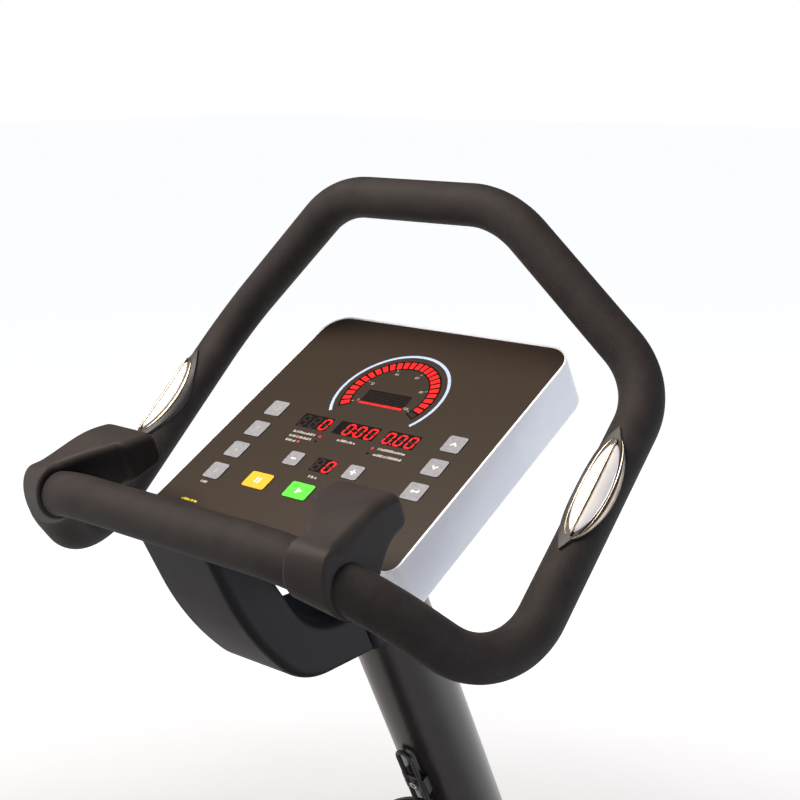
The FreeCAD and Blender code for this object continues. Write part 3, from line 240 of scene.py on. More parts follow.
def loft(name, rings, material, closed=False):
    """Skin over rings of points. Open lofts get flat ends."""
    count = len(rings[0])
    points = [p for ring in rings for p in ring]
    faces = []
    spans = len(rings) if closed else len(rings) - 1
    for i in range(spans):
        a = i * count
        b = ((i + 1) % len(rings)) * count
        for j in range(count):
            k = (j + 1) % count
            faces.append((a + j, a + k, b + k, b + j))
    if not closed:
        faces.append(tuple(range(count)))
        faces.append(tuple(range(len(points) - count, len(points))))
    return add_mesh(name, points, faces, material)


def rounded_route(points, radii, closed, step):
    """Points along straight runs joined by arcs, about one step apart."""
    count = len(points)
    corners = range(count) if closed else range(1, count - 1)
    route = [] if closed else [points[0]]
    for i in corners:
        here = points[i]
        before = (points[i - 1] - here).normalized()
        after = (points[(i + 1) % count] - here).normalized()
        half = before.angle(after) / 2
        reach = radii[i] / math.tan(half)
        middle = here + (before + after).normalized() * (radii[i] / math.sin(half))
        turn = math.pi - 2 * half
        start = here + before * reach
        axis = before.cross(after).normalized()
        pieces = max(int(turn * radii[i] / step), 4)
        for k in range(pieces + 1):
            spin = Matrix.Rotation(-turn * k / pieces, 3, axis)
            route.append(middle + spin @ (start - middle))
    if not closed:
        route.append(points[-1])
    return fill_gaps(route, closed, step)


def fill_gaps(route, closed, step):
    """Split the route's long stretches into pieces of about one step."""
    filled = []
    ends = range(len(route)) if closed else range(len(route) - 1)
    for i in ends:
        a = route[i]
        b = route[(i + 1) % len(route)]
        pieces = max(int(round((b - a).length / step)), 1)
        filled += [a.lerp(b, k / pieces) for k in range(pieces)]
    if not closed:
        filled.append(route[-1])
    return filled


def frames_along(route, closed):
    """A direction and two cross directions at each point, carried along without twist."""
    count = len(route)
    heads = []
    for i in range(count):
        ahead = route[(i + 1) % count] if closed or i < count - 1 else route[i]
        behind = route[i - 1] if closed or i > 0 else route[i]
        heads.append((ahead - behind).normalized())
    side = heads[0].orthogonal().normalized()
    frames = []
    for head in heads:
        side = (side - head * side.dot(head)).normalized()
        frames.append((head, side, head.cross(side)))
    return frames


def tube(name, route, radius, material, closed=False, around=32):
    """A round skin along a route. A closed one shares out the twist left at its seam."""
    rings = []
    frames = frames_along(route, closed)
    if closed:
        first = frames[0]
        last = frames[-1]
        twist = math.atan2(first[1].dot(last[2]), first[1].dot(last[1]))
    for i, (centre, (head, side, up)) in enumerate(zip(route, frames)):
        turn = twist * i / len(route) if closed else 0.0
        ring = []
        for j in range(around):
            angle = 2 * math.pi * j / around + turn
            ring.append(centre + (side * math.cos(angle) + up * math.sin(angle)) * radius)
        rings.append(ring)
    return loft(name, rings, material, closed)


def slabs(name, outlines, low, high, material, matrix=FACE_TO_ROW):
    """Flat outlines given in the face's plane, each made a thin closed slab from low to high."""
    points = []
    faces = []
    for outline in outlines:
        start = len(points)
        count = len(outline)
        points += [matrix @ Vector((u, v, low)) for u, v in outline]
        points += [matrix @ Vector((u, v, high)) for u, v in outline]
        faces.append(tuple(start + i for i in reversed(range(count))))
        faces.append(tuple(start + count + i for i in range(count)))
        for i in range(count):
            k = (i + 1) % count
            faces.append((start + i, start + k, start + count + k, start + count + i))
    return add_mesh(name, points, faces, material, smooth=False)


PRINT_LEVEL = 0.05            # height of one level of print


def on_face(name, outlines, material, level=1):
    """A print on the faceplate. Each level lies a little above the one before."""
    piece = slabs(name, outlines, FACE_W - PRINT_LEVEL, FACE_W + PRINT_LEVEL * level, material)
    return settle(piece, "frame")


# ---------------------------------------------------------------- console prints

def rectangle(u, v, width, height, corner=0.0):
    """An outline centred on u, v, with round corners if a corner radius is given."""
    if corner <= 0:
        return [(u - width / 2, v - height / 2), (u + width / 2, v - height / 2),
                (u + width / 2, v + height / 2), (u - width / 2, v + height / 2)]
    outline = []
    for sx, sy, start in ((1, 1, 0), (-1, 1, 90), (-1, -1, 180), (1, -1, 270)):
        cx = u + sx * (width / 2 - corner)
        cy = v + sy * (height / 2 - corner)
        for k in range(5):
            angle = math.radians(start + 22.5 * k)
            outline.append((cx + corner * math.cos(angle), cy + corner * math.sin(angle)))
    return outline


def span(u0, u1, v0, v1, corner=0.0):
    """The same, given by its sides."""
    return rectangle((u0 + u1) / 2, (v0 + v1) / 2, u1 - u0, v1 - v0, corner)


def arc_band(u, v, inner, outer, start, end, steps):
    """The outline of a piece of a ring round u, v, between two angles in degrees."""
    outline = []
    for k in range(steps + 1):
        angle = math.radians(start + (end - start) * k / steps)
        outline.append((u + outer * math.cos(angle), v + outer * math.sin(angle)))
    for k in reversed(range(steps + 1)):
        angle = math.radians(start + (end - start) * k / steps)
        outline.append((u + inner * math.cos(angle), v + inner * math.sin(angle)))
    return outline


GAUGE = (0.0, 287.4)          # the dial's middle
GAUGE_START = 205.0           # angle of its first bar, in degrees
GAUGE_STEP = 9.2
GAUGE_BARS = 25
GAUGE_INNER = 41.4
GAUGE_OUTER = 50.6
GAUGE_HALF_BAR = 3.1
GAUGE_NUMBER_STEP = 46.0
GAUGE_NUMBER_R = 32.5
GAUGE_TICK = (36.6, 39.4)
DIGIT_HEIGHT = 16.0
DIGIT_WIDTH = 9.4
DIGIT_STROKE = 2.0
DIGIT_SLANT = math.tan(math.radians(8))
DIGIT_GAP = 0.35
DIGIT_ROW = 232.6             # v of the three main displays
LEVEL_ROW = 182.0             # v of the level display


def segment_bars(lit):
    """Outlines of the chosen bars of a seven-bar digit centred on the origin."""
    w = DIGIT_WIDTH / 2 - DIGIT_STROKE / 2
    h = DIGIT_HEIGHT / 2 - DIGIT_STROKE / 2
    t = DIGIT_STROKE / 2
    places = {"a": (0, h, 1), "g": (0, 0, 1), "d": (0, -h, 1), "f": (-w, h / 2, 0), "b": (w, h / 2, 0),
              "e": (-w, -h / 2, 0), "c": (w, -h / 2, 0)}
    outlines = []
    for key in lit:
        cx, cy, flat = places[key]
        reach = (w if flat else h / 2) - DIGIT_GAP
        bar = [(-reach, 0), (-reach + t, t), (reach - t, t), (reach, 0), (reach - t, -t), (-reach + t, -t)]
        if not flat:
            bar = [(y, x) for x, y in bar]
        outlines.append([(cx + x + DIGIT_SLANT * (cy + y), cy + y) for x, y in bar])
    return outlines


def digit(u, v, lit):
    return [[(u + x, v + y) for x, y in outline] for outline in segment_bars(lit)]


ZERO = "abcdef"


def gauge_bar(index):
    angle = GAUGE_START - GAUGE_STEP * index
    return arc_band(*GAUGE, GAUGE_INNER, GAUGE_OUTER, angle + GAUGE_HALF_BAR, angle - GAUGE_HALF_BAR, 4)


def make_displays():
    """Windows, digits, the dial's bars and the small dot graph."""
    windows = [span(-72.5, -33.8, 224.0, 242.6, 0.6), span(-25.5, 25.0, 224.0, 242.6, 0.6),
               span(34.2, 73.0, 224.0, 242.6, 0.6), span(-13.8, 10.6, 173.0, 191.2, 0.6),
               span(-27.0, 27.0, 270.6, 290.6, 0.4),
               arc_band(*GAUGE, 39.6, 52.6, GAUGE_START + 6, -30, 60)]
    on_face("display_windows", windows, "black_window_and_painted_shade", 1)
    zeros = [(-39.6, DIGIT_ROW), (-9.4, DIGIT_ROW), (4.6, DIGIT_ROW), (18.2, DIGIT_ROW),
             (40.0, DIGIT_ROW), (53.4, DIGIT_ROW), (66.6, DIGIT_ROW), (5.4, LEVEL_ROW)]
    blanks = [(-52.8, DIGIT_ROW), (-66.0, DIGIT_ROW), (-8.0, LEVEL_ROW)]
    lit = [outline for u, v in zeros for outline in digit(u, v, ZERO)]
    for u, v in ((-2.6, DIGIT_ROW + 3), (-2.9, DIGIT_ROW - 3), (46.2, DIGIT_ROW - 7)):
        lit.append(rectangle(u, v, 1.5, 1.5, 0.5))
    on_face("display_digits", lit, "led_red", 3)
    unlit = [outline for u, v in zeros for outline in digit(u, v, "g")]
    unlit += [outline for u, v in blanks for outline in digit(u, v, "abcdefg")]
    on_face("display_unlit_bars", unlit, "led_off", 2)
    on_face("gauge_bars", [gauge_bar(i) for i in range(GAUGE_BARS)], "led_red", 2)
    on_face("gauge_unlit_bar", [gauge_bar(GAUGE_BARS)], "led_off", 2)
    strips = [span(-26.4 + 13.4 * i, -14.0 + 13.4 * i, 270.2, 272.8) for i in range(4)]
    on_face("bar_graph_lit_row", strips, "led_red", 3)
    columns = [span(-25.6 + 2.66 * i, -24.2 + 2.66 * i, 273.8 + 2.7 * j, 275.2 + 2.7 * j)
               for i in range(20) for j in range(6)]
    on_face("bar_graph_unlit_dots", columns, "led_off", 2)
    on_face("gauge_arc", [arc_band(*GAUGE, 58.4, 61.6, 215, -35, 72)], "print_blue", 1)


def greeked_line(u0, u1, v, height, seed):
    """A line of small unreadable blocks where a label would be."""
    chance = random.Random(seed)
    blocks = []
    u = u0
    while u < u1 - 1.0:
        width = chance.uniform(1.1, 2.1)
        tall = height * chance.choice((1.0, 1.0, 0.72))
        blocks.append(span(u, min(u + width, u1), v - height / 2, v - height / 2 + tall, 0.2))
        u += width + chance.choice((0.45, 0.45, 0.45, 1.3))
    return blocks


STATUS_DOT_R = 1.5


def status_dot(u, v):
    return arc_band(u, v, 0.02, STATUS_DOT_R, 0, 350, 14)


def make_labels():
    """Plain unreadable blocks where the labels are, and the small status lights."""
    lines = [(-68.0, -40.0, 216.7), (-68.0, -40.4, 210.2), (-68.0, -55.6, 204.2), (-12.0, 10.6, 217.2),
             (38.4, 70.8, 217.2), (38.4, 71.4, 209.2), (-7.2, 3.4, 166.2), (-116.6, -107.4, 129.2)]
    blocks = []
    for i, (u0, u1, v) in enumerate(lines):
        blocks += greeked_line(u0, u1, v, 3.0, i)
    on_face("face_labels", blocks, "print_white", 1)
    on_face("face_small_print", greeked_line(-119, -63, 98.4, 1.8, 20), "print_white", 1)
    on_face("face_yellow_line", greeked_line(-119, -98, 104.0, 2.6, 21), "print_yellow", 1)
    on_face("status_dots_lit", [status_dot(-33.4, 216.2), status_dot(32.2, 216.4)], "led_red", 2)
    on_face("status_dot_heart", [[(-53.6, 205.2), (-50.4, 205.4), (-52.0, 202.4)]], "led_orange", 2)
    on_face("status_dots_unlit", [status_dot(-33.4, 209.4), status_dot(31.6, 209.0)], "black_window_and_painted_shade", 2)


FONT_PER_HEIGHT = 1.38


def make_number(name, text, u, v, height, level_w, body):
    """A number set in the plane of the face, as a mesh."""
    curve = bpy.data.curves.new(name, "FONT")
    curve.body = text
    curve.size = height * FONT_PER_HEIGHT
    curve.extrude = PRINT_LEVEL
    curve.align_x = "CENTER"
    curve.align_y = "CENTER"
    holder = bpy.data.objects.new(name + "_text", curve)
    bpy.context.scene.collection.objects.link(holder)
    bpy.context.view_layer.update()
    mesh = bpy.data.meshes.new_from_object(holder.evaluated_get(bpy.context.evaluated_depsgraph_get()))
    bpy.data.objects.remove(holder)
    mesh.transform(FACE_TO_ROW @ Matrix.Translation((u, v, level_w)))
    made = bpy.data.objects.new(name, mesh)
    mesh.materials.clear()
    mesh.materials.append(MATERIALS["print_white"])
    bpy.context.scene.collection.objects.link(made)
    return settle(made, body)


def make_gauge_numbers():
    """Plain numbers and short ticks inside the dial's bars."""
    ticks = []
    for i, text in enumerate(("0", "20", "40", "60", "80", "100")):
        angle = math.radians(GAUGE_START - GAUGE_NUMBER_STEP * i)
        u = GAUGE[0] + GAUGE_NUMBER_R * math.cos(angle)
        v = GAUGE[1] + GAUGE_NUMBER_R * math.sin(angle)
        make_number("gauge_number_" + text, text, u, v, 3.4, FACE_W + 0.04, "frame")
        direction = (math.cos(angle), math.sin(angle))
        side = (-direction[1] * 0.3, direction[0] * 0.3)
        a, b = [(GAUGE[0] + r * direction[0], GAUGE[1] + r * direction[1]) for r in GAUGE_TICK]
        ticks.append([(a[0] - side[0], a[1] - side[1]), (b[0] - side[0], b[1] - side[1]),
                      (b[0] + side[0], b[1] + side[1]), (a[0] + side[0], a[1] + side[1])])
    on_face("gauge_ticks", ticks, "print_white", 1)


KEY_TOP = 0.6                 # height of the keys' tops over the console's plane
KEY_SYMBOLS = {
    "key_up": [[(-3.6, -1.6), (0, 2.6), (3.6, -1.6), (2.2, -2.6), (0, 0.2), (-2.2, -2.6)]],
    "key_down": [[(-3.6, 1.6), (-2.2, 2.6), (0, -0.2), (2.2, 2.6), (3.6, 1.6), (0, -2.6)]],
    "key_minus": [rectangle(0, 0, 6.4, 1.6)],
    "key_plus": [[(-3.2, -0.8), (-0.8, -0.8), (-0.8, -3.2), (0.8, -3.2), (0.8, -0.8), (3.2, -0.8),
                  (3.2, 0.8), (0.8, 0.8), (0.8, 3.2), (-0.8, 3.2), (-0.8, 0.8), (-3.2, 0.8)]],
    "key_pause": [rectangle(-2.0, 0, 2.0, 7.0), rectangle(2.0, 0, 2.0, 7.0)],
    "key_start": [[(-2.6, -3.8), (4.0, 0), (-2.6, 3.8)]],
    "key_enter": [[(-4.6, 0), (-1.6, 2.4), (-1.6, 0.8), (3.0, 0.8), (3.0, 3.0), (4.4, 3.0), (4.4, -0.7),
                   (-1.6, -0.7), (-1.6, -2.4)]],
}
KEY_NUMBERS = {"key_left_1": "12", "key_left_2": "9", "key_left_3": "6", "key_left_4": "3"}


def face_point(world):
    return FACE_TO_ROW.inverted() @ world


def key_centre(name):
    low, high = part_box(name)
    middle = face_point((low + high) / 2)
    return middle.x, middle.y


def make_key_marks():
    """A plain sign or number on each key, riding with it."""
    for name, shapes in KEY_SYMBOLS.items():
        u, v = key_centre(name)
        outlines = [[(u + x, v + y) for x, y in shape] for shape in shapes]
        piece = slabs("mark_" + name, outlines, KEY_TOP - 0.05, KEY_TOP + 0.06, "mark_white")
        settle(piece, name)
    for name, text in KEY_NUMBERS.items():
        u, v = key_centre(name)
        make_number("mark_" + name, text, u, v, 6.0, KEY_TOP + 0.03, name)


# ---------------------------------------------------------------- handlebar foam, rests and sensors

GRIP_R = 0.020
LOOP_RIGHT = [in_row(99.5, 296.2, 318.7), in_row(258.9, 302.2, 174.4),
              in_row(260.4, 83.7, -29.4), in_row(183.7, -29.3, 80.3)]
LOOP = LOOP_RIGHT + [Vector((-p.x, p.y, p.z)) for p in reversed(LOOP_RIGHT)]
BEND_RADII = [r * MM for r in (94, 74, 69, 130, 130, 69, 74, 94)]
NEAR_BAR = in_row(0, -29.3, 80.3)
NEAR_BEND_X = 0.1025          # where the near bar starts to bend
NEAR_BEND_R = 0.130
NEAR_BEND_WAY = Vector((0.717, -0.697))


def make_grip():
    """The foam sleeve, one unbroken tube round the whole loop."""
    route = rounded_route(LOOP, BEND_RADII, True, 0.004)
    grip = tube("grip_sleeve", route, GRIP_R, "grip_foam", closed=True, around=40)
    settle(grip, "frame")
    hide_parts("grip_foam")


SLEEVE = (0.148, 0.1835)       # inner and outer ends of the rest's sleeve on the bar
PLATE = (0.113, 0.177)         # inner and outer sides of its plate
WRAP_SHARE = 0.42              # share of the rest's outline that is wrapped round the bar
WRAP_FROM = math.radians(-20)
WRAP_TO = math.radians(-256)
SLEEVE_INSIDE = 0.0170         # inside the foam's skin
SLEEVE_OUTSIDE = 0.0226
SLEEVE_GROWTH = 0.0016         # the sleeve thickens this much from its free edge to the plate
PLATE_TOP_END = Vector((0.0880, 0.0405))       # far top edge from the bar's middle, in y and z
PLATE_CROWN = 0.0040
PLATE_ROOT = Vector((0.001, 0.0168))           # the underside's start, bend and far edge
PLATE_BEND = Vector((0.044, -0.010))
PLATE_FOOT = Vector((0.0995, 0.0110))
PLATE_BEND_SHARE = 0.34
TOP_HOLD = 0.45                # how much of the bar's bend the top surface follows at the plate's root
REST_CORNER = 0.0085
BAR_MIDDLE = Vector((NEAR_BAR.y, NEAR_BAR.z))


def bar_drop(x, offset):
    """Shift in y and z, at an offset from the near bar's middle, of its bent slice at x."""
    run = max(abs(x) - NEAR_BEND_X, 0.0)
    left = math.sqrt(NEAR_BEND_R ** 2 - run * run)
    stretch = offset.dot(NEAR_BEND_WAY) * (NEAR_BEND_R / left - 1)
    return NEAR_BEND_WAY * (NEAR_BEND_R - left + stretch)


def along_points(points, share):
    """The value at a place along a list of (position, value) pairs."""
    for (s0, v0), (s1, v1) in zip(points, points[1:]):
        if share <= s1:
            return v0 + (v1 - v0) * (share - s0) / (s1 - s0)
    return points[-1][1]


# x of the plate's two sides at shares of its length, with a notch in the inner one
INNER_SIDE = [(0.0, SLEEVE[0]), (0.08, 0.1462), (0.48, 0.1220), (0.55, 0.1195), (0.575, 0.1145),
              (0.60, PLATE[0]), (1.0, PLATE[0])]
OUTER_SIDE = [(0.0, SLEEVE[1]), (0.35, 0.1810), (1.0, PLATE[1])]


def out_from_bar(angle):
    return Vector((math.cos(angle), math.sin(angle)))


def sleeve_section(k):
    """The rest's section round the bar, from its free edge at 0 to the plate at 1."""
    direction = out_from_bar(WRAP_FROM + k * (WRAP_TO - WRAP_FROM))
    outer = BAR_MIDDLE + direction * (SLEEVE_OUTSIDE + SLEEVE_GROWTH * k)
    hold = 1.0 - (1.0 - TOP_HOLD) * smooth_step((k - 0.62) / 0.38)
    return outer, BAR_MIDDLE + direction * SLEEVE_INSIDE, *SLEEVE, hold, 1.0


def plate_section(k):
    """The rest's section along its plate, from the sleeve at 0 to the far end at 1."""
    start = BAR_MIDDLE + out_from_bar(WRAP_TO) * (SLEEVE_OUTSIDE + SLEEVE_GROWTH)
    outer = start.lerp(BAR_MIDDLE + PLATE_TOP_END, k) + Vector((0, PLATE_CROWN * math.sin(math.pi * k)))
    bend = BAR_MIDDLE + PLATE_BEND
    if k < PLATE_BEND_SHARE:
        inner = (BAR_MIDDLE + PLATE_ROOT).lerp(bend, k / PLATE_BEND_SHARE)
    else:
        inner = bend.lerp(BAR_MIDDLE + PLATE_FOOT, (k - PLATE_BEND_SHARE) / (1 - PLATE_BEND_SHARE))
    hold = 1.0 - smooth_step(k / 0.8)
    return outer, inner, along_points(INNER_SIDE, k), along_points(OUTER_SIDE, k), TOP_HOLD * hold, hold


def rest_section(t):
    """Outer and inner points of the rest's side outline, its two sides, and each one's hold on the bar."""
    if t < WRAP_SHARE:
        return sleeve_section(t / WRAP_SHARE)
    return plate_section((t - WRAP_SHARE) / (1 - WRAP_SHARE))


def rest_ring(t, squash_x, squash_depth, around=44):
    """One rounded ring of the rest between its inner and outer outlines."""
    outer, inner, x0, x1, outer_hold, inner_hold = rest_section(t)
    middle = (outer + inner) / 2
    reach = (outer - inner) / 2
    depth = reach.length
    half = (x1 - x0) / 2
    corner = min(REST_CORNER, depth * 0.95)
    ring = []
    for j in range(around):
        a, b = rounded_unit(2 * math.pi * j / around, half, depth, corner)
        x = (x0 + x1) / 2 + a * squash_x
        place = middle + reach.normalized() * (b * squash_depth)
        hold = inner_hold + (outer_hold - inner_hold) * (b / depth + 1) / 2
        drop = bar_drop(x, place - BAR_MIDDLE) * hold
        ring.append((x, place.x + drop.x, place.y + drop.y))
    return ring


def rounded_unit(angle, half, depth, corner):
    """A point on a rounded rectangle, met at a given angle round its corners."""
    sx = 1 if math.cos(angle) >= 0 else -1
    sy = 1 if math.sin(angle) >= 0 else -1
    return sx * (half - corner) + corner * math.cos(angle), sy * (depth - corner) + corner * math.sin(angle)


REST_STEPS = 72
REST_NOSE = 0.010              # radius of the rest's rounded far end
REST_NOSE_SHARE = 0.060        # the same, as a share of the way along the rest
REST_NOSE_STEPS = 7


def nose_ring(step):
    """One ring of the rest's rounded far end."""
    angle = 0.5 * math.pi * step / REST_NOSE_STEPS
    t = 1 - REST_NOSE_SHARE * (1 - math.sin(angle))
    outer, inner, x0, x1, _, _ = rest_section(t)
    loss = REST_NOSE * (1 - math.cos(angle))
    return rest_ring(t, 1 - loss / (x1 - x0) * 2, 1 - loss / (outer - inner).length * 2)


REST_LIP_SHARE = 0.006         # share taken by the rounded free edge


def make_rest(side):
    """One hand rest: a sleeve round the near bar that runs out into a thick plate."""
    rings = [rest_ring(0.0, 0.75, 0.3), rest_ring(0.002, 0.96, 0.85)]
    body_share = 1 - REST_NOSE_SHARE - REST_LIP_SHARE
    rings += [rest_ring(REST_LIP_SHARE + body_share * i / REST_STEPS, 1.0, 1.0) for i in range(REST_STEPS)]
    rings += [nose_ring(step) for step in range(REST_NOSE_STEPS + 1)]
    rings += [rest_ring(1.0, 0.4, 0.16)]
    placed = [[Vector((side * x, y, z)) for x, y, z in ring] for ring in rings]
    word = "right" if side > 0 else "left"
    rest = loft("rest_" + word, placed, "rest_rubber")
    smooth = rest.modifiers.new("soft", "SUBSURF")
    smooth.levels = 1
    smooth.render_levels = 1
    apply_modifiers(rest)
    rest.data.shade_smooth()
    settle(rest, "frame")
    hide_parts("rest_pad_" + word)


SENSOR_MIDDLE = 0.178          # along the side grip from its lower corner
SENSOR_TURN = math.radians(11)
SENSOR_SEAT = GRIP_R + 0.0018  # radius of the moulded base under the plates
SENSOR_SKIRT = 0.004


def side_grip_axes():
    """The sensor's middle on the right side grip, and its long, cross and outward directions."""
    start = LOOP_RIGHT[2]
    along = (LOOP_RIGHT[1] - LOOP_RIGHT[2]).normalized()
    across = (Vector((1, 0, 0)) - along * along.x).normalized()
    up = across.cross(along).normalized()
    turned = across * math.cos(SENSOR_TURN) - up * math.sin(SENSOR_TURN)
    outward = up * math.cos(SENSOR_TURN) + across * math.sin(SENSOR_TURN)
    return start + along * SENSOR_MIDDLE, along, turned, outward


def leaf(name, side, half_length, half_width, profile, material):
    """A leaf-shaped plate on a side grip. profile gives the lift over the foam from edge to edge."""
    centre, along, across, normal = side_grip_axes()
    rings = []
    steps = 48
    for i in range(steps + 1):
        share = math.sin(0.5 * math.pi * (-1 + 2 * i / steps))
        width = half_width * max(1 - share * share, 0.0) ** 0.60 + 0.0003
        fade = min(1.0, width / (half_width * 0.35))
        ring = []
        for a, lift in profile:
            x = a * width
            base = math.sqrt(SENSOR_SEAT ** 2 - x * x)
            ring.append(centre + along * (share * half_length) + across * x + normal * (base + lift * fade))
        ring.append(ring[-1] - normal * SENSOR_SKIRT)
        ring.append(ring[0] - normal * SENSOR_SKIRT)
        rings.append([Vector((side * p.x, p.y, p.z)) for p in ring])
    return loft(name, rings, material)


# Across each layer from edge to edge: place as a share of its half width, and lift in metres
RIM_PROFILE = [(-1, 0.0), (-0.94, 0.0014), (-0.86, 0.0018), (-0.76, 0.0010), (-0.72, 0.0002), (0.72, 0.0002),
               (0.76, 0.0010), (0.86, 0.0018), (0.94, 0.0014), (1, 0.0)]
PLATE_PROFILE = [(-1, 0.0006), (-0.96, 0.0016), (-0.90, 0.0019), (-0.4, 0.0024), (0, 0.0026), (0.4, 0.0024),
                 (0.90, 0.0019), (0.96, 0.0016), (1, 0.0006)]
GROOVE_PROFILE = [(-1, 0.0002), (-0.6, 0.0009), (0.6, 0.0009), (1, 0.0002)]
RIDGE_PROFILE = [(-1, 0.0016), (-0.8, 0.0030), (-0.3, 0.0038), (0.3, 0.0038), (0.8, 0.0030), (1, 0.0016)]
# The plate layer's near-white material is a painted reflection on chrome.
# Layer, half length, half width, profile, material and slot
SENSOR_LAYERS = (("rim", 0.0505, 0.0170, RIM_PROFILE, "sensor_rim", "chrome_steel"),
                 ("groove", 0.0462, 0.0136, GROOVE_PROFILE, "black_window_and_painted_shade", "black_plastic"),
                 ("plate", 0.0440, 0.0122, PLATE_PROFILE, "sensor_steel_painted_reflection", "chrome_steel"),
                 ("ridge", 0.0478, 0.0019, RIDGE_PROFILE, "sensor_rim", "chrome_steel"))


def make_sensors():
    for side, word in ((1, "right"), (-1, "left")):
        for layer, half_length, half_width, profile, material, slot in SENSOR_LAYERS:
            name = "sensor_" + layer + "_" + word
            made = settle(leaf(name, side, half_length, half_width, profile, material), "frame")
            if side > 0 and layer == "rim":
                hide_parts("pulse_sensors")


# ---------------------------------------------------------------- saddle

def copy_node(name, new_name, material):
    """A free copy of a CAD piece, for reshaping."""
    made = NODES[name].copy()
    made.data = NODES[name].data.copy()
    made.name = new_name
    made.modifiers.clear()
    bpy.context.scene.collection.objects.link(made)
    made.data.transform(made.matrix_world)
    made.parent = None
    made.matrix_world = Matrix.Identity(4)
    made.data.materials.clear()
    made.data.materials.append(MATERIALS[material])
    return made


def remesh(piece, size):
    piece.modifiers.new("even", "REMESH")
    even = piece.modifiers["even"]
    even.mode = "VOXEL"
    even.voxel_size = size
    apply_modifiers(piece)


def shape_saddle(piece, low, high):
    """Crown the top, sink a channel along the middle, lift the rear and drop the nose."""
    length = high.y - low.y
    half = (high.x - low.x) / 2
    for vertex in piece.data.vertices:
        x, y, z = vertex.co
        along = (y - low.y) / length
        top = smooth_step((z - low.z) / (high.z - low.z))
        ends = smooth_step(along / 0.2) * smooth_step((1 - along) / 0.3)
        channel = 0.0075 * math.exp(-(x / 0.011) ** 2) * ends
        crown = 0.011 * min(abs(x) / half, 1.0) ** 2
        nose = 0.007 * smooth_step((along - 0.55) / 0.45)
        dish = 0.005 * math.sin(math.pi * min(max((along - 0.1) / 0.6, 0.0), 1.0))
        rear = 0.004 * smooth_step((0.22 - along) / 0.22)
        vertex.co.z += top * (rear - channel - crown - nose - dish)
        tuck = 0.0035 * smooth_step((0.35 - (z - low.z) / (high.z - low.z)) / 0.35)
        vertex.co.x -= math.copysign(min(tuck, abs(x)), x)


CLOTH_FRAMES = 20


def inflate(piece, pressure, cap):
    """Puff the cover out by a short cloth run, and hold every point within cap of where it began."""
    before = [vertex.co.copy() for vertex in piece.data.vertices]
    rim = piece.vertex_groups.new(name="held")
    floor_z = min(p.z for p in before) + 0.006
    rim.add([i for i, p in enumerate(before) if p.z < floor_z], 1.0, "ADD")
    piece.modifiers.new("puff", "CLOTH")
    puff = piece.modifiers["puff"]
    puff.settings.use_pressure = True
    puff.settings.uniform_pressure_force = pressure
    puff.settings.vertex_group_mass = "held"
    puff.settings.effector_weights.gravity = 0.0
    puff.point_cache.frame_start = 1
    puff.point_cache.frame_end = CLOTH_FRAMES
    scene = bpy.context.scene
    for step in range(1, CLOTH_FRAMES + 1):
        scene.frame_set(step)
    apply_modifiers(piece)
    scene.frame_set(1)
    for vertex, start in zip(piece.data.vertices, before):
        move = vertex.co - start
        if move.length > cap:
            vertex.co = start + move * (cap / move.length)


def rim_outline(name, grow):
    """The plan outline of a node's widest level, ordered round its middle."""
    piece = NODES[name]
    points = [piece.matrix_world @ v.co for v in piece.data.vertices]
    low = min(p.z for p in points)
    rim = [p for p in points if p.z < low + 0.0005]
    middle = Vector((0, sum(p.y for p in rim) / len(rim), low))
    rim.sort(key=lambda p: math.atan2(p.y - middle.y, p.x))
    outline = []
    for p in rim:
        out = Vector((p.x, p.y - middle.y, 0)).normalized()
        place = Vector((p.x, p.y, 0)) + out * grow
        if not outline or (place - outline[-1]).length > 0.004:
            outline.append(place)
    return fill_gaps(outline, True, 0.006)


def make_saddle():
    """The padded saddle with a piped lower edge."""
    low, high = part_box("saddle_cushion")
    saddle = copy_node("saddle_cushion", "saddle_pad", "saddle_cover")
    remesh(saddle, 0.005)
    shape_saddle(saddle, low, high)
    inflate(saddle, 4.0, 0.004)
    smooth = saddle.modifiers.new("soft", "CORRECTIVE_SMOOTH")
    smooth.iterations = 6
    smooth.use_only_smooth = True
    finer = saddle.modifiers.new("finer", "SUBSURF")
    finer.levels = 1
    finer.render_levels = 1
    apply_modifiers(saddle)
    saddle.data.shade_smooth()
    settle(saddle, "seat")
    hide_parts("saddle_cushion")
    route = [Vector((p.x, p.y, low.z + 0.007)) for p in rim_outline("saddle_cushion", -0.0014)]
    piping = tube("saddle_piping", route, 0.0019, "saddle_cover", closed=True, around=10)
    settle(piping, "seat")


# ---------------------------------------------------------------- pedals, straps and cranks

def band(name, route, width_axis, width, thickness, material):
    """A strap of rounded section with slightly thicker edges, swept along a route."""
    rings = []
    profile = [(-1, 0), (-0.985, 0.75), (-0.94, 1.15), (-0.86, 1.15), (-0.82, 0.85), (0, 0.85), (0.82, 0.85),
               (0.86, 1.15), (0.94, 1.15), (0.985, 0.75), (1, 0), (0.97, -0.8), (0.9, -0.85), (-0.9, -0.85),
               (-0.97, -0.8)]
    for i, point in enumerate(route):
        ahead = route[min(i + 1, len(route) - 1)]
        behind = route[max(i - 1, 0)]
        head = (ahead - behind).normalized()
        out = head.cross(width_axis).normalized()
        rings.append([point + width_axis * (a * width / 2) + out * (b * thickness / 2) for a, b in profile])
    return loft(name, rings, material)


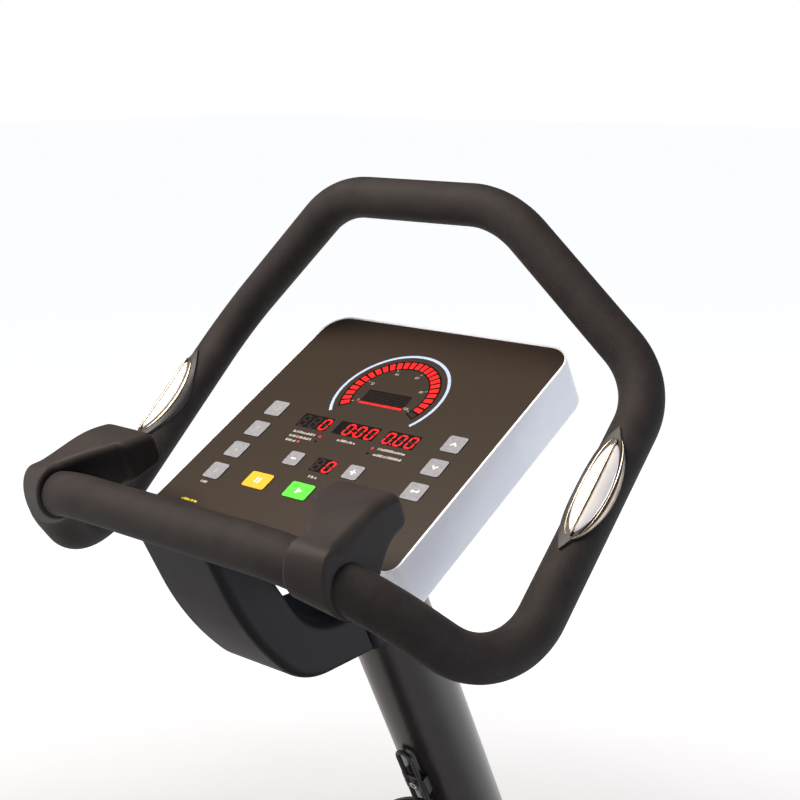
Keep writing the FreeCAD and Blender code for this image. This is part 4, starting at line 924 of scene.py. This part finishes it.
def make_strap(word):
    """A foot strap over a pedal, with its row of holes drawn as black discs of painted shade."""
    body = "pedal_" + word
    low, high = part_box("pedal_strap_" + word)
    inset = 0.0018
    y = (low.y + high.y) / 2
    base = low.z + 0.046
    points = [Vector((low.x + inset, y, low.z)), Vector((low.x + inset, y, base)),
              Vector((low.x + 0.023, y, high.z - inset)), Vector((high.x - 0.023, y, high.z - inset)),
              Vector((high.x - inset, y, base)), Vector((high.x - inset, y, low.z))]
    route = rounded_route(points, [0, 0.026, 0.026, 0.026, 0.026, 0], False, 0.003)
    strap = band("strap_" + word, route, Vector((0, 1, 0)), high.y - low.y - 0.001, 0.0026, "strap_rubber")
    settle(strap, body)
    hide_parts("pedal_strap_" + word)
    outer = high.x if word == "right" else low.x
    sign = 1 if word == "right" else -1
    # Each hole is a black disc on the strap: painted shade, with no opening cut.
    for i in range(4):
        place = Vector((outer - sign * 0.0001, y, low.z + 0.006 + 0.010 * i))
        name = "strap_hole_painted_shade_" + word + str(i)
        hole = disc(name, place, Vector((sign, 0, 0)), 0.0026, 0.0012, "black_window_and_painted_shade")
        settle(hole, body)


def disc(name, place, axis, radius, thickness, material, dome=0.0):
    """A round button with a small edge bevel, centred on place and facing along axis."""
    side = axis.orthogonal().normalized()
    up = axis.cross(side)
    levels = [(0.0, 1.0), (0.7, 1.0), (0.93, 0.93), (1.0, 0.80)]
    if dome > 0:
        levels += [(1.0 + dome * 0.7, 0.5), (1.0 + dome, 0.12)]
    rings = []
    for rise, share in levels:
        ring = []
        for j in range(28):
            angle = 2 * math.pi * j / 28
            spread = (side * math.cos(angle) + up * math.sin(angle)) * radius * share
            ring.append(place + axis * (thickness * (rise - 0.5)) + spread)
        rings.append(ring)
    return loft(name, rings, material)


def ring_band(name, place, axis, inner, outer, thickness, material):
    """A flat trim ring with softened edges."""
    side = axis.orthogonal().normalized()
    up = axis.cross(side)
    profile = [(inner, 0.0), (inner, 0.75), (inner + 0.0008, 1.0),
               (outer - 0.0012, 1.0), (outer, 0.6), (outer, 0.0)]
    rings = []
    for j in range(64):
        angle = 2 * math.pi * j / 64
        spread = side * math.cos(angle) + up * math.sin(angle)
        rings.append([place + spread * r + axis * (thickness * h) for r, h in profile])
    return loft(name, rings, material, closed=True)


COVER_SIDE = 0.078             # x of the covers' outer faces
SCREW_FACE = 0.080             # x of their screws' heads


def make_cranks():
    """Caps on the crank axle and the pedals, and a trim ring where the axle leaves each cover."""
    axle_low, axle_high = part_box("crank_axle")
    centre = (axle_low + axle_high) / 2
    for sign, word in ((1, "right"), (-1, "left")):
        out = Vector((sign, 0, 0))
        end = Vector((sign * axle_high.x, centre.y, centre.z))
        cap = disc("crank_cap_" + word, end + out * 0.0012, out, 0.0135, 0.0034, "black_plastic", dome=0.5)
        settle(cap, "crank")
        face = Vector((sign * (COVER_SIDE + 0.0002), centre.y, centre.z))
        trim = ring_band("crank_trim_" + word, face, out, 0.0215, 0.036, 0.0024, "bright_steel")
        settle(trim, "frame")
        pedal_low, pedal_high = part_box("pedal_" + word)
        pedal_middle = (pedal_low + pedal_high) / 2
        outer = pedal_high.x if sign > 0 else pedal_low.x
        end = Vector((outer + sign * 0.0004, pedal_middle.y, pedal_middle.z))
        cover = disc("pedal_cap_" + word, end, out, 0.0085, 0.0022, "black_plastic", dome=0.4)
        settle(cover, "pedal_" + word)


def make_tread(word):
    """Small grip studs on both faces of a pedal."""
    low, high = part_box("pedal_" + word)
    middle = (low + high) / 2
    studs = []
    for face in (1, -1):
        for y in (-0.0450, 0.0450):
            for i in range(8):
                x = low.x + 0.015 + (high.x - low.x - 0.030) * i / 7
                place = Vector((x, middle.y + y, middle.z + face * 0.0113))
                studs.append(disc("stud", place, Vector((0, 0, face)), 0.0022, 0.0014, "black_plastic"))
    joined = join("pedal_studs_" + word, studs)
    settle(joined, "pedal_" + word)


def join(name, pieces):
    """One piece in place of several."""
    merged = bmesh.new()
    for piece in pieces:
        merged.from_mesh(piece.data)
    mesh = bpy.data.meshes.new(name)
    merged.to_mesh(mesh)
    merged.free()
    made = bpy.data.objects.new(name, mesh)
    mesh.materials.append(pieces[0].data.materials[0])
    for piece in pieces:
        bpy.data.objects.remove(piece)
    bpy.context.scene.collection.objects.link(made)
    mesh.shade_smooth()
    return made


# ---------------------------------------------------------------- covers and fasteners

def block(name, centre, axes, half, material):
    """A box given by its centre, three directions and half sizes."""
    along, across, up = (axis * reach for axis, reach in zip(axes, half))
    signs = (-1, 1)
    points = [centre + along * sx + across * sy + up * sz for sx in signs for sy in signs for sz in signs]
    faces = [(0, 1, 3, 2), (4, 6, 7, 5), (0, 4, 5, 1), (2, 3, 7, 6), (0, 2, 6, 4), (1, 5, 7, 3)]
    return add_mesh(name, points, faces, material, smooth=False)


# y and z of the cover screws, in millimetres
COVER_SCREWS = ((-395, 160), (-200, 140), (330, 140), (545, 180), (540, 520), (200, 500), (-150, 460))


def make_screw_crosses():
    """A black cross on each cover screw, painted shade standing in for its recess, turned a little
    differently on each.
    """
    x_axis, y_axis, z_axis = Vector((1, 0, 0)), Vector((0, 1, 0)), Vector((0, 0, 1))
    crosses = []
    for i, (y, z) in enumerate(COVER_SCREWS):
        for sign in (-1, 1):
            turn = Matrix.Rotation(0.4 * i + 0.2 * sign, 3, "X")
            centre = Vector((sign * (SCREW_FACE + 0.00003), y * MM, z * MM))
            axes = (x_axis, turn @ y_axis, turn @ z_axis)
            for half in ((0.0003, 0.0026, 0.0006), (0.0003, 0.0006, 0.0026)):
                crosses.append(block("cross", centre, axes, half, "black_window_and_painted_shade"))
    settle(join("cover_screw_cross_painted_shade", crosses), "frame")


def make_vents():
    """Rows of short louvres low on both covers, drawn as thin black blocks of painted shade."""
    x_axis = Vector((1, 0, 0))
    lean = Matrix.Rotation(math.radians(20), 3, "X")
    along = lean @ Vector((0, 1, 0))
    up = lean @ Vector((0, 0, 1))
    louvres = []
    for sign in (-1, 1):
        for i in range(7):
            centre = Vector((sign * (COVER_SIDE + 0.0001), 0.400 + 0.012 * i, 0.270 + 0.022 * i))
            half = (0.0009, 0.040, 0.0042)
            louvres.append(block("louvre", centre, (x_axis, along, up), half, "black_window_and_painted_shade"))
    vents = join("cover_vent_painted_shade", louvres)
    bevel(vents, 0.0008, 2)
    settle(vents, "frame")


CASE_BACK = -54.0              # w of the console case's underside


def make_case_back():
    """Screws, louvres as black slots of painted shade, and a blank rating plate on the console case's
    underside.
    """
    pieces = []
    for u in (-110, 110):
        for v in (120, 356):
            place = FACE_TO_ROW @ Vector((u, v, CASE_BACK - 0.2))
            down = (FACE_TO_ROW.to_3x3() @ Vector((0, 0, -1))).normalized()
            pieces.append(disc("case_screw", place, down, 0.0042, 0.0016, "bright_steel"))
    settle(join("case_screws", pieces), "frame")
    # The slots are black slabs: painted shade, with no openings cut.
    slots = [rectangle(u + 10 * i, 345, 4.0, 26, 1.9) for u in (-60, 20) for i in range(5)]
    louvres = slabs("case_louvre_painted_shade", slots, CASE_BACK - 0.25, CASE_BACK + 0.1, "black_window_and_painted_shade")
    settle(louvres, "frame")
    plate = slabs("rating_plate", [rectangle(-92, 250, 50, 26, 2)], CASE_BACK - 0.3, CASE_BACK + 0.1,
                  "bright_steel")
    settle(plate, "frame")


# ---------------------------------------------------------------- stage, light and camera

def make_pale_floor():
    """A pale floor that is lit to the backdrop's white away from the bike."""
    made = surface("floor_pale", (0.60, 0.60, 0.61), (0.64, 0.64, 0.65), 0.6, 3.0, specular=0.1)
    tree = made.node_tree
    shader = tree.nodes["Principled BSDF"]
    place = node(tree, "ShaderNodeTexCoord")
    far = node(tree, "ShaderNodeVectorMath", operation="LENGTH")
    tree.links.new(place.outputs["Object"], far.inputs[0])
    lift = node(tree, "ShaderNodeMapRange")
    lift.inputs["From Min"].default_value = 1.0
    lift.inputs["From Max"].default_value = 2.6
    lift.inputs["To Min"].default_value = 0.04
    lift.inputs["To Max"].default_value = 0.95
    tree.links.new(far.outputs["Value"], lift.inputs["Value"])
    tree.links.new(lift.outputs["Result"], shader.inputs["Emission Strength"])
    shader.inputs["Emission Color"].default_value = (1.0, 1.0, 1.0, 1)


FLOOR_REACH = 40.0


def make_stage():
    """One flat sheet of floor."""
    r = FLOOR_REACH
    floor = add_mesh("floor", [(-r, -r, 0), (r, -r, 0), (r, r, 0), (-r, r, 0)], [(0, 1, 2, 3)],
                     "floor_pale", smooth=False)


def area_light(name, place, aim, size, power, colour):
    """A soft rectangular lamp turned to face its aim."""
    data = bpy.data.lights.new(name, "AREA")
    data.shape = "RECTANGLE"
    data.size = size[0]
    data.size_y = size[1]
    data.energy = power
    data.color = colour
    lamp = bpy.data.objects.new(name, data)
    bpy.context.scene.collection.objects.link(lamp)
    lamp.location = place
    lamp.rotation_euler = (Vector(aim) - Vector(place)).to_track_quat("-Z", "Y").to_euler()


def make_world():
    """White behind the bike, and a dim blue light on it from all round."""
    world = bpy.data.worlds.new("studio")
    bpy.context.scene.world = world
    world.use_nodes = True
    tree = world.node_tree
    back = tree.nodes["Background"]
    back.inputs["Color"].default_value = (1.0, 1.0, 1.0, 1)
    back.inputs["Strength"].default_value = 1.0
    dim = node(tree, "ShaderNodeBackground")
    dim.inputs["Color"].default_value = (0.40, 0.55, 1.0, 1)
    dim.inputs["Strength"].default_value = 0.08
    ray = node(tree, "ShaderNodeLightPath")
    mix = node(tree, "ShaderNodeMixShader")
    tree.links.new(ray.outputs["Is Camera Ray"], mix.inputs["Fac"])
    tree.links.new(dim.outputs["Background"], mix.inputs[1])
    tree.links.new(back.outputs["Background"], mix.inputs[2])
    tree.links.new(mix.outputs["Shader"], tree.nodes["World Output"].inputs["Surface"])


CAMERA_AT = CONSOLE + Vector((0.8288, -0.7316, 0.4346))
CAMERA_HEADING = Vector((-0.6210, 0.7496, -0.2290))
CAMERA_LENS = 61.98


def make_camera():
    data = bpy.data.cameras.new("camera")
    data.lens = CAMERA_LENS
    data.sensor_width = 36.0
    data.clip_end = 200.0
    camera = bpy.data.objects.new("camera", data)
    bpy.context.scene.collection.objects.link(camera)
    camera.location = CAMERA_AT
    camera.rotation_euler = CAMERA_HEADING.to_track_quat("-Z", "Y").to_euler()
    bpy.context.scene.camera = camera


def make_lights():
    """A warm main light overhead, and weak fills from both sides."""
    area_light("overhead", (-0.6, -0.7, 3.2), CONSOLE, (1.2, 1.2), 112, (1.0, 0.90, 0.80))
    area_light("left_side", (-2.5, -0.6, 1.8), CONSOLE, (0.8, 2.0), 12, (1.0, 0.97, 0.94))
    area_light("right_side", (2.5, 1.5, 1.2), CONSOLE, (1.2, 2.0), 22, (0.80, 0.88, 1.0))


def make_view():
    bpy.context.scene.view_settings.view_transform = "Standard"
    make_world()
    make_lights()
    make_stage()
    make_camera()


make_materials()
make_pale_floor()
dress_nodes()
make_displays()
make_labels()
make_gauge_numbers()
make_key_marks()
make_grip()
make_rest(1)
make_rest(-1)
make_sensors()
make_saddle()
for hand in ("right", "left"):
    make_strap(hand)
    make_tread(hand)
make_cranks()
make_screw_crosses()
make_vents()
make_case_back()
make_view()


def corners(box):
    return [list(box[0]), list(box[1])]
